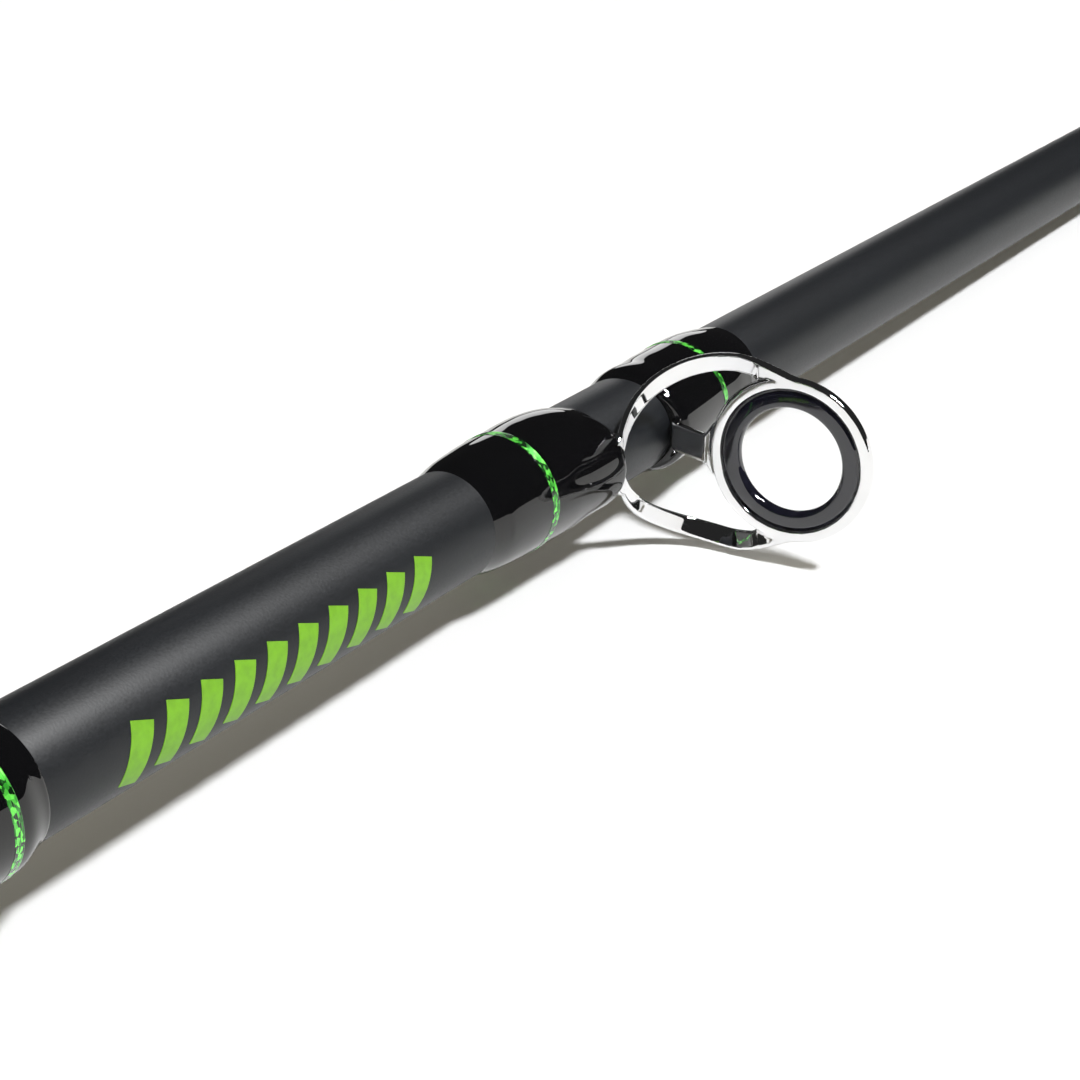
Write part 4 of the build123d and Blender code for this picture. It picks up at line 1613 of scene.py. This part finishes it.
@dataclass
class Studio:
    """Floor, lights and camera.

    Each sun is (direction, strength, width in degrees, colour) and the panel is (place, target, power,
    width), in metres.
    """

    eye: tuple = (0.44747, -0.09453, 0.06305)
    right: tuple = (0.54497, -0.83760, -0.03775)
    down: tuple = (-0.33399, -0.17557, -0.92608)
    ahead: tuple = (0.76906, 0.51730, -0.37543)
    lens: float = 76.67
    sensor: float = 36.0
    clip: tuple = (0.01, 200.0)
    drop: tuple = ((400.0, 13.3), (478.0, 10.8), (527.0, 9.65), (690.0, 5.75), (730.0, 5.6), (830.0, 8.0))
    tilt: float = 0.08
    tilt_reach: float = 60.0
    reach: float = 30000.0
    floor_middle: float = 440.0
    floor_rows: int = 241
    bunching: float = 7.0
    key: tuple = ((-0.08, -0.57, 0.82), 3.5, 7.0, (0.98, 0.99, 1.02))
    fill: tuple = ((0.0, 0.0, 1.0), 0.90, 170.0, (1.0, 0.94, 0.78))
    backdrop: tuple = ((0.821, 0.544, 0.174), 0.12, 16.0, UNIT)
    front_panel: tuple = ((0.646, -0.183, 0.350), (0.56, 0.0, 0.0), 3.6, 0.06)
    sky: float = 0.02

    def floor(self) -> None:
        """A wide sheet: height = tilt * tilt reach * tanh(y / tilt reach) - drop along the rod.

        Rows and columns are spaced by a hyperbolic sine, close together by the rod.
        """
        count = self.floor_rows
        u = np.linspace(-1.0, 1.0, count)
        spread = np.sinh(self.bunching * u) / np.sinh(self.bunching) * self.reach
        x, y = np.meshgrid(spread + self.floor_middle, spread, indexing="ij")
        z = self.tilt * self.tilt_reach * np.tanh(y / self.tilt_reach)
        z = z - np.interp(x, *np.array(self.drop).T)
        i, j = np.meshgrid(np.arange(count - 1), np.arange(count - 1), indexing="ij")
        corner = (i * count + j).ravel()
        quads = np.stack([corner, corner + count, corner + count + 1, corner + 1], axis=-1)
        mesh = bpy.data.meshes.new("floor")
        mesh.from_pydata((np.stack([x, y, z], -1).reshape(-1, 3) * MM).tolist(), [], quads.tolist())
        mesh.polygons.foreach_set("use_smooth", np.ones(len(mesh.polygons), bool))
        mesh.materials.append(FLOOR_PAPER.material())
        thing = linked("floor", mesh)

    @staticmethod
    def lamp(name: str, towards: Sequence[float], strength: float, spread: float,
             colour: Colour) -> bpy.types.Object:
        """A soft round light far away.

        Args:
            name: the light's name.
            towards: direction from the rod to the light.
            strength: its strength.
            spread: its width, in degrees.
            colour: its colour.

        Returns:
            The light.
        """
        data = bpy.data.lights.new(name, "SUN")
        data.energy = strength
        data.angle = radians(spread)
        data.color = colour
        thing = linked(name, data)
        thing.rotation_euler = Vector(towards).to_track_quat("Z", "Y").to_euler()
        return thing

    @staticmethod
    def panel(name: str, place: Sequence[float], target: Sequence[float], power: float,
              size: float) -> bpy.types.Object:
        """A small round panel light near the rod.

        Args:
            name: the light's name.
            place: its place, in metres.
            target: the point that it faces.
            power: its power in watts.
            size: its width in metres.

        Returns:
            The light.
        """
        data = bpy.data.lights.new(name, "AREA")
        data.shape = "DISK"
        data.energy = power
        data.size = size
        thing = linked(name, data)
        thing.location = place
        thing.rotation_euler = (Vector(place) - Vector(target)).to_track_quat("Z", "Y").to_euler()
        return thing

    def camera(self) -> None:
        """The camera at the photograph's place, angle and lens."""
        data = bpy.data.cameras.new("camera")
        data.lens = self.lens
        data.sensor_width = self.sensor
        data.clip_start, data.clip_end = self.clip
        thing = linked("camera", data)
        turned = np.eye(4)
        turned[:3, 0], turned[:3, 1] = self.right, -np.array(self.down)
        turned[:3, 2], turned[:3, 3] = -np.array(self.ahead), self.eye
        thing.matrix_world = Matrix(turned.tolist())
        bpy.context.scene.camera = thing

    def build(self) -> None:
        """Make the studio."""
        self.camera()
        self.floor()
        self.lamp("key", *self.key)
        self.lamp("fill", *self.fill).visible_glossy = False
        self.panel("front_panel", *self.front_panel).visible_diffuse = False
        self.lamp("backdrop", *self.backdrop).visible_diffuse = False
        bpy.context.scene.view_settings.view_transform = "Standard"
        world = bpy.data.worlds.new("studio")
        bpy.context.scene.world = world
        world.use_nodes = True
        sky = world.node_tree.nodes["Background"]
        sky.inputs["Color"].default_value = (*UNIT, 1.0)
        sky.inputs["Strength"].default_value = self.sky


def main() -> None:
    """Build the studio and every sub-assembly."""
    logging.basicConfig(level=logging.INFO, format="%(name)s: %(message)s")
    Studio().build()
    blank = Blank()
    blank.build()
    FerruleWrap(blank).build()
    GuideRow(blank).build()
    TipTop(blank).build()
    Handle(blank).build()
    ReelSeat().build()


if __name__ == "__main__":
    main()
